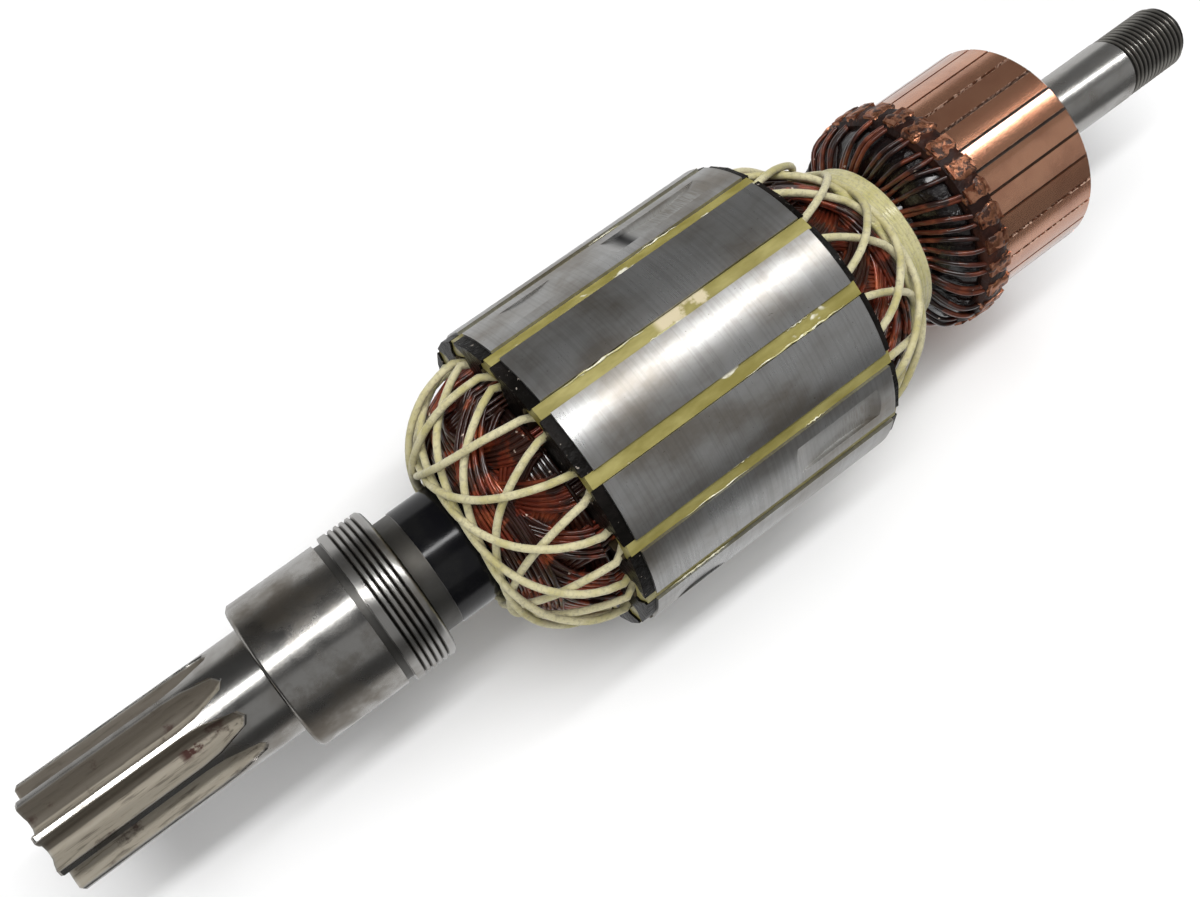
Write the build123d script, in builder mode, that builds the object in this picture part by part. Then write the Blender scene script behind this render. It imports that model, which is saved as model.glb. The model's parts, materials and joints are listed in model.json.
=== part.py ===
from build123d import *

import os
from math import acos, asin, cos, degrees, radians, sin

# Wound armature of a heavy hand-held motor. Sizes are in millimetres. X runs along the spin axis
# from the pinion to the threaded end, Z is up, and the origin lies on the axis at half the length.
# The armature lies on its core, one slot straight down.

# Turned shaft, from the shoulder towards the pinion
pinion_diameter = 19.0
pinion_teeth = 9
tooth_depth = 3.8
tooth_straight_length = 25.0
tooth_runout_length = 9.3
tooth_crest_width = 0.7
groove_bottom_radius = 1.75
groove_overcut = 0.8
groove_steps = 4
runout_steps = 3
pinion_chamfer = 0.6
plain_length = 5.4
seat_diameter = 26.5
seat_length = 16.5
seat_chamfer = 0.7
relief_width = 1.4
relief_depth = 0.5

# Turned shaft, from the shoulder towards the threaded end
shoulder_diameter = 27.4
shoulder_length = 7.8
shoulder_chamfer = 0.6
labyrinth_grooves = 5
labyrinth_pitch = 1.09
labyrinth_groove_width = 0.6
labyrinth_groove_depth = 0.55
neck_diameter = 20.8
neck_length = 3.4
inner_shaft_diameter = 17.0
shaft_past_commutator = 7.0
tail_diameter = 12.0
tail_cone_length = 3.0
tail_length = 19.5
thread_core_diameter = 11.0
thread_length = 14.4
thread_chamfer = 1.4

# Insulating sleeve round the shaft
sleeve_diameter = 21.2
sleeve_showing = 22.9
bore_sides = 28

# Laminated core
core_diameter = 56.6
core_length = 48.8
slot_count = 14
slot_opening = 2.4
slot_lip = 1.0
slot_shoulder = 1.6
slot_top_share = 0.1113
slot_bottom_share = 0.046
slot_depth_share = 0.2
balance_cutter_radius = 34.0
balance_cut_width = 5.6

# Fibre end plates, slot liners and wedges
drive_plate_thickness = 2.0
commutator_plate_thickness = 1.2
plate_setback = 0.35
plate_sides = 28
liner_thickness = 0.3
wedge_thickness = 0.8
wedge_clearance = 0.06
wedge_recess = 0.55
wedge_setback = 0.4

# Coils
coil_pitch_slots = 6
coil_clearance = 0.12
coil_layer_gap = 0.2
coil_side_showing = 1.6
bundle_diameter = 2.8
bundle_sides = 4
bundle_bend = 2.4
drive_head_reach = 9.8
drive_head_fullness = 1.35
commutator_head_reach = 10.1
commutator_head_fullness = 2.3
nose_gap = 0.5
nose_rise = 2.2
inner_layer_share = 0.63
inner_layer_turn = 60.0

# Lacing cord and binding band
cord_diameter = 1.4
cord_sides = 3
cord_gap = 0.5
lace_pitch_slots = 5
lace_side_angle = 5.0
lace_nose_gap = 1.0
lace_nose_angle = 6.0
band_width = 4.8
band_thickness = 2.4
band_sides = 42

# Commutator
commutator_gap = 27.6
bar_count = 28
commutator_diameter = 38.8
bar_length = 25.7
bar_depth = 3.8
bar_chamfer = 0.8
mica_width = 0.5
mica_undercut = 0.8
riser_length = 4.4
riser_width = 2.5
hook_thickness = 0.8
hook_wall = 0.7
lead_width = 1.7
lead_thickness = 0.75
lead_gap = 0.05

# Places along the axis
pinion_side = tooth_straight_length + tooth_runout_length + plain_length + seat_length + relief_width
winding_side = shoulder_length + neck_length + sleeve_showing + drive_plate_thickness + core_length
commutator_side = commutator_plate_thickness + commutator_gap + bar_length + shaft_past_commutator
tail_side = tail_length + thread_length
pinion_end = -(pinion_side + winding_side + commutator_side + tail_side) / 2
runout_start = pinion_end + tooth_straight_length
teeth_end = runout_start + tooth_runout_length
seat_start = teeth_end + plain_length
seat_end = seat_start + seat_length
shoulder_start = seat_end + relief_width
shoulder_end = shoulder_start + shoulder_length
sleeve_start = shoulder_end + neck_length
drive_face = sleeve_start + sleeve_showing
core_start = drive_face + drive_plate_thickness
core_end = core_start + core_length
commutator_face = core_end + commutator_plate_thickness
commutator_start = commutator_face + commutator_gap
commutator_end = commutator_start + bar_length
tail_start = commutator_end + shaft_past_commutator
thread_start = tail_start + tail_length
shaft_end = thread_start + thread_length

# Radii and angles that several pieces share
pinion_radius = pinion_diameter / 2
seat_radius = seat_diameter / 2
shoulder_radius = shoulder_diameter / 2
inner_shaft_radius = inner_shaft_diameter / 2
tail_radius = tail_diameter / 2
thread_radius = thread_core_diameter / 2
sleeve_radius = sleeve_diameter / 2
core_radius = core_diameter / 2
slot_top_width = core_diameter * slot_top_share
slot_bottom_width = core_diameter * slot_bottom_share
slot_bottom = core_radius - core_diameter * slot_depth_share
slot_widest = core_radius - slot_lip - slot_shoulder
wedge_bottom = slot_widest - wedge_thickness
liner_top = wedge_bottom - wedge_clearance
slot_angle = 360 / slot_count
bar_angle = 360 / bar_count
top_angle = 90.0
bar_outer = commutator_diameter / 2
bar_inner = bar_outer - bar_depth
bundle_radius = bundle_diameter / 2
cord_radius = cord_diameter / 2

os.makedirs("parts", exist_ok=True)


def at(x, radius, angle):
    """Point at a place along the axis, a radius and an angle from +Y towards +Z."""
    return Vector(x, radius * cos(radians(angle)), radius * sin(radians(angle)))


def slot_half_width(radius):
    """Half width of the tapered part of a core slot at a radius."""
    share = (radius - slot_bottom) / (slot_widest - slot_bottom)
    return (slot_bottom_width + (slot_top_width - slot_bottom_width) * share) / 2


def both_sides(half_outline):
    """Closed outline from one half, mirrored in the radial line through its middle."""
    return half_outline + [(radius, -half) for radius, half in reversed(half_outline)]


def bore(radius):
    """Cut a bore of many flats round a given radius out of the sketch that is open."""
    RegularPolygon(radius, bore_sides, major_radius=False, mode=Mode.SUBTRACT)


def save(piece, name):
    """Label a finished piece and write its file."""
    piece.label = name
    export_step(piece, f"parts/{name}.step")


# Gap between two pinion teeth: a round-bottomed groove that rises out of the shaft at its end
groove_root = pinion_radius - tooth_depth
groove_shoulder = groove_root + groove_bottom_radius
groove_half_angle = radians(180 / pinion_teeth - degrees(asin(tooth_crest_width / pinion_diameter)))
groove_tip_half = pinion_radius * sin(groove_half_angle)
groove_tip_height = pinion_radius * cos(groove_half_angle)
flank_slope = (groove_tip_half - groove_bottom_radius) / (groove_tip_height - groove_shoulder)
groove_top = pinion_radius + groove_overcut
groove_top_half = groove_tip_half + flank_slope * (groove_top - groove_tip_height)
runout_radius = (tooth_runout_length**2 + tooth_depth**2) / (2 * tooth_depth)
runout_turn = degrees(acos(1 - (tooth_depth + groove_overcut) / runout_radius))
groove_start = pinion_end - groove_overcut
groove_bottom = []
for step in range(groove_steps + 1):
    swung = radians(180 * step / groove_steps)
    drop = groove_bottom_radius * sin(swung)
    groove_bottom.append((-groove_bottom_radius * cos(swung), groove_shoulder - drop))
runout_points = []
for step in range(runout_steps + 1):
    turned = radians(runout_turn * step / runout_steps)
    rise = runout_radius * (1 - cos(turned))
    runout_points.append((runout_start + runout_radius * sin(turned), groove_root + rise))

with BuildPart() as tooth_gap:
    with BuildLine(Plane.XZ) as groove_path:
        Polyline((groove_start, groove_root), *runout_points)
    with BuildSketch(Plane.YZ.offset(groove_start)):
        Polygon(
            *groove_bottom,
            (groove_top_half, groove_top),
            (-groove_top_half, groove_top),
            align=None,
        )
    sweep(path=groove_path.wire(), transition=Transition.RIGHT)

# Shaft: pinion, bearing seat, grinding relief, labyrinth shoulder, neck and threaded tail in one turning
first_groove = (shoulder_start + shoulder_end - labyrinth_pitch * (labyrinth_grooves - 1)) / 2
labyrinth_outline = []
for groove in range(labyrinth_grooves):
    groove_middle = first_groove + groove * labyrinth_pitch
    labyrinth_outline += [
        (groove_middle - labyrinth_groove_width / 2, shoulder_radius),
        (groove_middle, shoulder_radius - labyrinth_groove_depth),
        (groove_middle + labyrinth_groove_width / 2, shoulder_radius),
    ]

with BuildPart() as shaft:
    with BuildSketch(Plane.XZ):
        Polygon(
            (pinion_end, 0),
            (pinion_end, pinion_radius - pinion_chamfer),
            (pinion_end + pinion_chamfer, pinion_radius),
            (seat_start, pinion_radius),
            (seat_start, seat_radius - seat_chamfer),
            (seat_start + seat_chamfer, seat_radius),
            (seat_end, seat_radius),
            (seat_end, seat_radius - relief_depth),
            (shoulder_start, seat_radius - relief_depth),
            (shoulder_start, shoulder_radius),
            *labyrinth_outline,
            (shoulder_end - shoulder_chamfer, shoulder_radius),
            (shoulder_end, shoulder_radius - shoulder_chamfer),
            (shoulder_end, neck_diameter / 2),
            (sleeve_start, neck_diameter / 2),
            (sleeve_start, inner_shaft_radius),
            (tail_start, inner_shaft_radius),
            (tail_start + tail_cone_length, tail_radius),
            (thread_start, tail_radius),
            (thread_start, thread_radius),
            (shaft_end - thread_chamfer, thread_radius),
            (shaft_end, thread_radius - thread_chamfer),
            (shaft_end, 0),
            align=None,
        )
    revolve(axis=Axis.X)
    for tooth in range(pinion_teeth):
        add(tooth_gap.part, rotation=(tooth * 360 / pinion_teeth - top_angle, 0, 0), mode=Mode.SUBTRACT)
save(shaft.part, "shaft")

# Black sleeve that insulates the shaft from the core and the windings
with BuildPart() as shaft_sleeve:
    with BuildSketch(Plane.YZ.offset(sleeve_start)):
        Circle(sleeve_radius)
        bore(inner_shaft_radius)
    extrude(amount=commutator_start - sleeve_start)
save(shaft_sleeve.part, "shaft_sleeve")

# Lamination outline: semi-closed slots with sloping lips, parallel-sided teeth between them
slot_outline = both_sides(
    [
        (core_radius + slot_lip, slot_opening / 2),
        (core_radius - slot_lip, slot_opening / 2),
        (slot_widest, slot_top_width / 2),
        (slot_bottom, slot_bottom_width / 2),
    ]
)


def cut_slots():
    """Cut the bore and the slots out of the disc in the sketch that is open."""
    bore(sleeve_radius)
    with PolarLocations(0, slot_count, start_angle=top_angle):
        Polygon(*slot_outline, align=None, mode=Mode.SUBTRACT)


def end_plate(name, start, thickness):
    """Write a fibre plate with fingers that cover the ends of the teeth."""
    with BuildPart() as plate:
        with BuildSketch(Plane.YZ.offset(start)):
            RegularPolygon(core_radius - plate_setback, plate_sides, rotation=top_angle)
            cut_slots()
        extrude(amount=thickness)
    save(plate.part, name)


# Balance cuts: shallow scallops milled along some teeth, as tooth, place from the middle and depth
core_middle = (core_start + core_end) / 2
balance_cuts = [(-1.5, 11.0, 1.5), (-1.5, -13.5, 0.5), (2.5, 13.0, 1.1), (3.5, -15.0, 0.5)]

with BuildPart() as core:
    with BuildSketch(Plane.YZ.offset(core_start)):
        Circle(core_radius)
        cut_slots()
    extrude(amount=core_length)
    for tooth, place, depth in balance_cuts:
        cut_angle = top_angle + tooth * slot_angle
        cut_centre = at(core_middle + place, core_radius + balance_cutter_radius - depth, cut_angle)
        across_tooth = at(0, 1, cut_angle + 90)
        with BuildSketch(Plane(origin=cut_centre, x_dir=(1, 0, 0), z_dir=across_tooth)):
            Circle(balance_cutter_radius)
        extrude(amount=balance_cut_width / 2, both=True, mode=Mode.SUBTRACT)
save(core.part, "core")

end_plate("end_plate_drive", drive_face, drive_plate_thickness)
end_plate("end_plate_commutator", core_end, commutator_plate_thickness)

# Paper liners: a U in each slot, from plate to plate
liner_floor = slot_bottom + liner_thickness
liner_outline = both_sides(
    [
        (slot_bottom, slot_bottom_width / 2),
        (liner_top, slot_half_width(liner_top)),
        (liner_top, slot_half_width(liner_top) - liner_thickness),
        (liner_floor, slot_half_width(liner_floor) - liner_thickness),
    ]
)
with BuildPart() as slot_liners:
    with BuildSketch(Plane.YZ.offset(drive_face)):
        with PolarLocations(0, slot_count, start_angle=top_angle):
            Polygon(*liner_outline, align=None)
    extrude(amount=commutator_face - drive_face)
save(slot_liners.part, "slot_liners")

# Wedges: strips that close the slots, held under the lips
wedge_outline = both_sides(
    [
        (core_radius - wedge_recess, slot_opening / 2 - wedge_clearance),
        (core_radius - slot_lip, slot_opening / 2 - wedge_clearance),
        (slot_widest, slot_top_width / 2 - 2 * wedge_clearance),
        (wedge_bottom, slot_half_width(wedge_bottom) - wedge_clearance),
    ]
)
with BuildPart() as slot_wedges:
    with BuildSketch(Plane.YZ.offset(drive_face + wedge_setback)):
        with PolarLocations(0, slot_count, start_angle=top_angle):
            Polygon(*wedge_outline, align=None)
    extrude(amount=commutator_face - drive_face - 2 * wedge_setback)
save(slot_wedges.part, "slot_wedges")

# Coil sides: an upper one and a lower one in each slot
sides_bottom = slot_bottom + liner_thickness + coil_clearance
sides_top = liner_top - coil_clearance
sides_middle = (sides_bottom + sides_top) / 2
layer_step = coil_layer_gap / 2
wall_allowance = liner_thickness + coil_clearance
upper_radius = (sides_middle + layer_step + sides_top) / 2
lower_radius = (sides_bottom + sides_middle - layer_step) / 2
coil_turn = coil_pitch_slots * slot_angle
nose_turn = coil_turn / 2
inner_nose = sleeve_radius + bundle_radius + nose_gap
outer_nose = inner_nose + nose_rise


def coil_side_outline(low, high):
    """Outline of a coil side between two radii, clear of the slot liner."""
    return both_sides(
        [(high, slot_half_width(high) - wall_allowance), (low, slot_half_width(low) - wall_allowance)]
    )


def head_radius(share, fullness, rise=0.0):
    """Radius of the outer coil layer on its way from the slot (0) to the nose (1)."""
    return outer_nose + rise + (upper_radius - outer_nose) * (1 - share**fullness)


def end_turn_points(face, outward, reach, fullness):
    """Points of the bundle that leads from an upper coil side round to a lower one."""
    bend = face + outward * bundle_bend
    points = [at(face + outward * coil_clearance, upper_radius, 0), at(bend, upper_radius, 0)]
    for share in (1 / 3, 2 / 3, 1):
        points.append(at(bend + outward * reach * share, head_radius(share, fullness), nose_turn * share))
    inner_reach = reach * inner_layer_share
    for share in (0, 0.5):
        radius = inner_nose + (lower_radius - inner_nose) * share
        angle = coil_turn - inner_layer_turn * (1 - share)
        points.append(at(bend + outward * inner_reach * (1 - share), radius, angle))
    points.append(at(bend, lower_radius, coil_turn))
    points.append(at(face + outward * coil_clearance, lower_radius, coil_turn))
    return points


def tube(points, sides, radius):
    """Add a bundle or cord of many-sided section, mitred along its points, to the part that is open."""
    with BuildLine(mode=Mode.PRIVATE) as route:
        Polyline(*points)
    with BuildSketch(Plane(origin=points[0], z_dir=points[1] - points[0]), mode=Mode.PRIVATE) as section:
        RegularPolygon(radius, sides)
    sweep(section.sketch, path=route.wire(), transition=Transition.RIGHT)


with BuildPart() as coil:
    with BuildSketch(Plane.YZ.offset(drive_face - coil_side_showing)):
        Polygon(*coil_side_outline(sides_middle + layer_step, sides_top), align=None)
        with PolarLocations(0, 1, start_angle=coil_turn):
            Polygon(*coil_side_outline(sides_bottom, sides_middle - layer_step), align=None)
    extrude(amount=commutator_face - drive_face + 2 * coil_side_showing)
    tube(
        end_turn_points(drive_face, -1, drive_head_reach, drive_head_fullness),
        bundle_sides,
        bundle_radius,
    )
    tube(
        end_turn_points(commutator_face, 1, commutator_head_reach, commutator_head_fullness),
        bundle_sides,
        bundle_radius,
    )

for slot in range(slot_count):
    with BuildPart() as placed_coil:
        add(coil.part, rotation=(top_angle + slot * slot_angle, 0, 0))
    save(placed_coil.part, f"coil_{slot + 1:02d}")

# Lacing: a cord from slot to slot over each winding head, passing round the shaft between
lower_rise = bundle_radius + cord_radius + cord_gap
upper_rise = lower_rise + cord_diameter + cord_gap
lace_turn = lace_pitch_slots * slot_angle


def lace_points(face, outward, reach, fullness, nose_radius):
    """Points of one stretch of cord: under the others on its way in, over them on its way out,
    then across the coil side in the slot where the next stretch begins."""
    bend = face + outward * bundle_bend
    first_angle = lace_side_angle
    last_angle = lace_turn - lace_side_angle
    middle_angle = lace_turn / 2
    foot = face + outward * cord_diameter
    foot_radius = sides_top + cord_radius + cord_gap
    points = [at(foot, foot_radius, first_angle)]
    for share in (0.45, 0.9):
        x = bend + outward * (reach + lower_rise) * share
        angle = first_angle + (middle_angle - first_angle) * share
        points.append(at(x, head_radius(share, fullness, lower_rise), angle))
    nose = bend + outward * (reach + bundle_radius + lace_nose_gap + cord_radius)
    points.append(at(nose, nose_radius, middle_angle - lace_nose_angle))
    points.append(at(nose, nose_radius + cord_diameter + cord_gap, middle_angle + lace_nose_angle))
    for share in (0.9, 0.45):
        x = bend + outward * (reach + upper_rise) * share
        angle = last_angle - (last_angle - middle_angle) * share
        points.append(at(x, head_radius(share, fullness, upper_rise), angle))
    points.append(at(foot, foot_radius, last_angle))
    points.append(at(foot, foot_radius, lace_turn + lace_side_angle))
    return points


def lacing(name, points):
    """Write the cord over one winding head, a stretch for each slot."""
    with BuildPart() as stretch:
        tube(points, cord_sides, cord_radius)
    with BuildPart() as net:
        for slot in range(slot_count):
            add(stretch.part, rotation=(top_angle + slot * slot_angle, 0, 0))
    save(net.part, name)


# Leads: from the winding along the shaft under the band, then flaring up into the riser hooks
hook_inner = bar_outer + lead_thickness + 2 * lead_gap
hook_outer = hook_inner + hook_thickness
lead_start = commutator_face + bundle_bend + commutator_head_reach + bundle_radius + nose_gap
lead_low = inner_nose + lead_thickness
lead_end = commutator_start + riser_length - hook_wall - lead_gap
band_inner = (lead_low**2 + (lead_width / 2) ** 2) ** 0.5 + lead_gap
lace_nose_depth = bundle_radius + lace_nose_gap + cord_diameter + 2 * cord_gap
band_start = commutator_face + bundle_bend + commutator_head_reach + lace_nose_depth
band_end = band_start + band_width
lead_top = bar_outer + lead_gap + lead_thickness
flare_middle = (band_end + commutator_start) / 2
flare_rise = 0.8
lead_upper_edge = [
    (lead_start, lead_low),
    (band_end, lead_low),
    (flare_middle, lead_low + (lead_top - lead_low) * flare_rise),
    (commutator_start, lead_top),
    (lead_end, lead_top),
]
lead_outline = lead_upper_edge + [(x, radius - lead_thickness) for x, radius in reversed(lead_upper_edge)]

lacing(
    "lacing_drive_end",
    lace_points(
        drive_face, -1, drive_head_reach, drive_head_fullness, sleeve_radius + cord_diameter
    ),
)
lacing(
    "lacing_commutator_end",
    lace_points(
        commutator_face,
        1,
        commutator_head_reach,
        commutator_head_fullness,
        lead_low + cord_diameter,
    ),
)

with BuildPart() as one_lead:
    with BuildSketch(Plane.XZ):
        Polygon(*lead_outline, align=None)
    extrude(amount=lead_width / 2, both=True)

with BuildPart() as commutator_leads:
    for bar in range(bar_count):
        add(one_lead.part, rotation=(bar * bar_angle, 0, 0))
save(commutator_leads.part, "commutator_leads")

# Wide band of cord that ties the leads down where they leave the winding
with BuildPart() as binding_band:
    with BuildSketch(Plane.YZ.offset(band_start)):
        RegularPolygon(band_inner + band_thickness, band_sides)
        RegularPolygon(band_inner, band_sides, major_radius=False, mode=Mode.SUBTRACT)
    extrude(amount=band_width)
save(binding_band.part, "binding_band")

# Moulded hub with the insulating fins that stand between the bars
with BuildPart() as commutator_hub:
    with BuildSketch(Plane.YZ.offset(commutator_start)):
        RegularPolygon(bar_inner, bar_count, major_radius=False, rotation=bar_angle / 2)
        with PolarLocations(0, bar_count, start_angle=top_angle + bar_angle / 2):
            Polygon(
                *both_sides([(bar_outer - mica_undercut, mica_width / 2), (bar_inner - 1, mica_width / 2)]),
                align=None,
            )
        bore(inner_shaft_radius)
    extrude(amount=bar_length)
save(commutator_hub.part, "commutator_hub")

# Copper bars, each with a riser hook folded over its lead
half_bar = radians(bar_angle / 2)


def bar_half_width(radius):
    """Half width of a bar at a radius, clear of the insulating fins."""
    return radius * sin(half_bar) - mica_width / 2 / cos(half_bar)


outer_half = bar_half_width(bar_outer)
inner_half = bar_half_width(bar_inner)
outer_edge = (bar_outer**2 - outer_half**2) ** 0.5
with BuildPart() as bar:
    with BuildSketch(Plane.YZ.offset(commutator_start)):
        with BuildLine():
            ThreePointArc((outer_edge, -outer_half), (bar_outer, 0), (outer_edge, outer_half))
            Polyline(
                (outer_edge, outer_half),
                (bar_inner, inner_half),
                (bar_inner, -inner_half),
                (outer_edge, -outer_half),
            )
        make_face()
    extrude(amount=bar_length)
    far_edge = bar.faces().sort_by(Axis.X)[-1].edges().sort_by(Axis.Y)[-1]
    chamfer(far_edge, bar_chamfer)
    with BuildSketch(Plane.XY):
        Polygon(
            (commutator_start + riser_length, bar_outer - hook_wall),
            (commutator_start + riser_length, hook_outer),
            (commutator_start, hook_outer),
            (commutator_start, hook_inner),
            (commutator_start + riser_length - hook_wall, hook_inner),
            (commutator_start + riser_length - hook_wall, bar_outer - hook_wall),
            align=None,
        )
    extrude(amount=riser_width / 2, both=True)

for number in range(bar_count):
    with BuildPart() as placed_bar:
        add(bar.part, rotation=(top_angle + number * bar_angle, 0, 0))
    save(placed_bar.part, f"commutator_bar_{number + 1:02d}")
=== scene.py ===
"""Dressed model of a motor armature: core, laced winding, commutator, pinion shaft and threaded tail."""
from __future__ import annotations

import json
import logging
import math
import random
from dataclasses import dataclass, field
from enum import Enum

import bpy
import numpy as np
from mathutils import Matrix, Vector

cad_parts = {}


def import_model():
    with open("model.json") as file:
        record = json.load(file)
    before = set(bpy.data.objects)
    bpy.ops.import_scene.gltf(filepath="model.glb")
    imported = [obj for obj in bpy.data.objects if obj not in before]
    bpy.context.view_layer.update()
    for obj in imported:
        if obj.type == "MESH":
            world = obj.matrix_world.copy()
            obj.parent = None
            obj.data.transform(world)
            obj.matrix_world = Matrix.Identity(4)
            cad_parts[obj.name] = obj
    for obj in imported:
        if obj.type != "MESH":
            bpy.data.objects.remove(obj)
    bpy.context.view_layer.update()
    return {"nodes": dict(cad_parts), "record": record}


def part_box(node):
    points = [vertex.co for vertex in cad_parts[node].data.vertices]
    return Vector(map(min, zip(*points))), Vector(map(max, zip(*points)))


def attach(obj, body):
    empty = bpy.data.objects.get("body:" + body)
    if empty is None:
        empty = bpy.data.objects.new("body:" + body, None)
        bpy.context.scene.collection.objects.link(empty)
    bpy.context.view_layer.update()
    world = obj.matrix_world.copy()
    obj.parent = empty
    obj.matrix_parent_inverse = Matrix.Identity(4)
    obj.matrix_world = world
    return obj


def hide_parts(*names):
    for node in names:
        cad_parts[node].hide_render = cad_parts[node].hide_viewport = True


LOG = logging.getLogger("armature")
MM = 0.001
SLOT_COUNT = 14
BAR_COUNT = 28
TOOTH_COUNT = 9
SLOT_ANGLE = math.tau / SLOT_COUNT
BAR_ANGLE = math.tau / BAR_COUNT
TOOTH_ANGLE = math.tau / TOOTH_COUNT
TOP_ANGLE = math.pi / 2
SHOULDER_BEFORE_SLEEVE = 11.2 * MM
SHOULDER_LENGTH = 7.8 * MM
THREAD_LENGTH = 14.4 * MM
MERGE_DISTANCE = 0.001 * MM
FACET_MERGE_DISTANCE = 0.002 * MM
TURNED_SMOOTH_ANGLE = math.radians(35.0)
SHAFT_SMOOTH_ANGLE = math.radians(46.0)
PLATE_SMOOTH_ANGLE = math.radians(30.0)
ALONG_SHAFT = Vector((1.0, 0.0, 0.0))

Point = tuple[float, float, float]
Span = tuple[float, float]
Outline = tuple[tuple[float, float], ...]
Route = list[Point]


class Slot(Enum):
    """Material slots of the record."""

    SHAFT = "shaft_steel"
    SLEEVE = "sleeve_black"
    CORE = "core_steel"
    PLATE = "plate_black"
    LINER = "liner_paper"
    WEDGE = "wedge_olive"
    COIL = "coil_enamel"
    CORD = "cord_cream"
    LEAD = "lead_varnish"
    HUB = "hub_moulding"
    BAR = "bar_copper"


class End(Enum):
    """The two ends of the winding, by the way each points along the shaft."""

    DRIVE = -1.0
    COMMUTATOR = 1.0


class Shade:
    """One output socket of a shader node, with operators that add Math nodes."""

    def __init__(self, paint: "Paint", socket: bpy.types.NodeSocket) -> None:
        """Wrap a socket of the given paint."""
        self.paint = paint
        self.socket = socket

    def _math(self, operation: str, first: object, second: object) -> "Shade":
        """Add a Math node.

        Args:
            operation: the Math node's operation.
            first: its first value or shade.
            second: its second value or shade.

        Returns:
            The node's output.
        """
        return self.paint.node("ShaderNodeMath", {"operation": operation}, {0: first, 1: second})

    def __add__(self, other: object) -> "Shade":
        """Sum."""
        return self._math("ADD", self, other)

    def __radd__(self, other: object) -> "Shade":
        """Sum with the value first."""
        return self._math("ADD", other, self)

    def __sub__(self, other: object) -> "Shade":
        """Difference."""
        return self._math("SUBTRACT", self, other)

    def __rsub__(self, other: object) -> "Shade":
        """Difference with the value first."""
        return self._math("SUBTRACT", other, self)

    def __mul__(self, other: object) -> "Shade":
        """Product."""
        return self._math("MULTIPLY", self, other)

    def __rmul__(self, other: object) -> "Shade":
        """Product with the value first."""
        return self._math("MULTIPLY", other, self)

    def __truediv__(self, other: object) -> "Shade":
        """Quotient."""
        return self._math("DIVIDE", self, other)

    def __pow__(self, other: object) -> "Shade":
        """Power."""
        return self._math("POWER", self, other)


@dataclass(frozen=True)
class Grain:
    """A pattern of fractal noise: waves a metre, octaves, and factors along the axes."""

    scale: float
    detail: float
    stretch: Point = (1.0, 1.0, 1.0)


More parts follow.
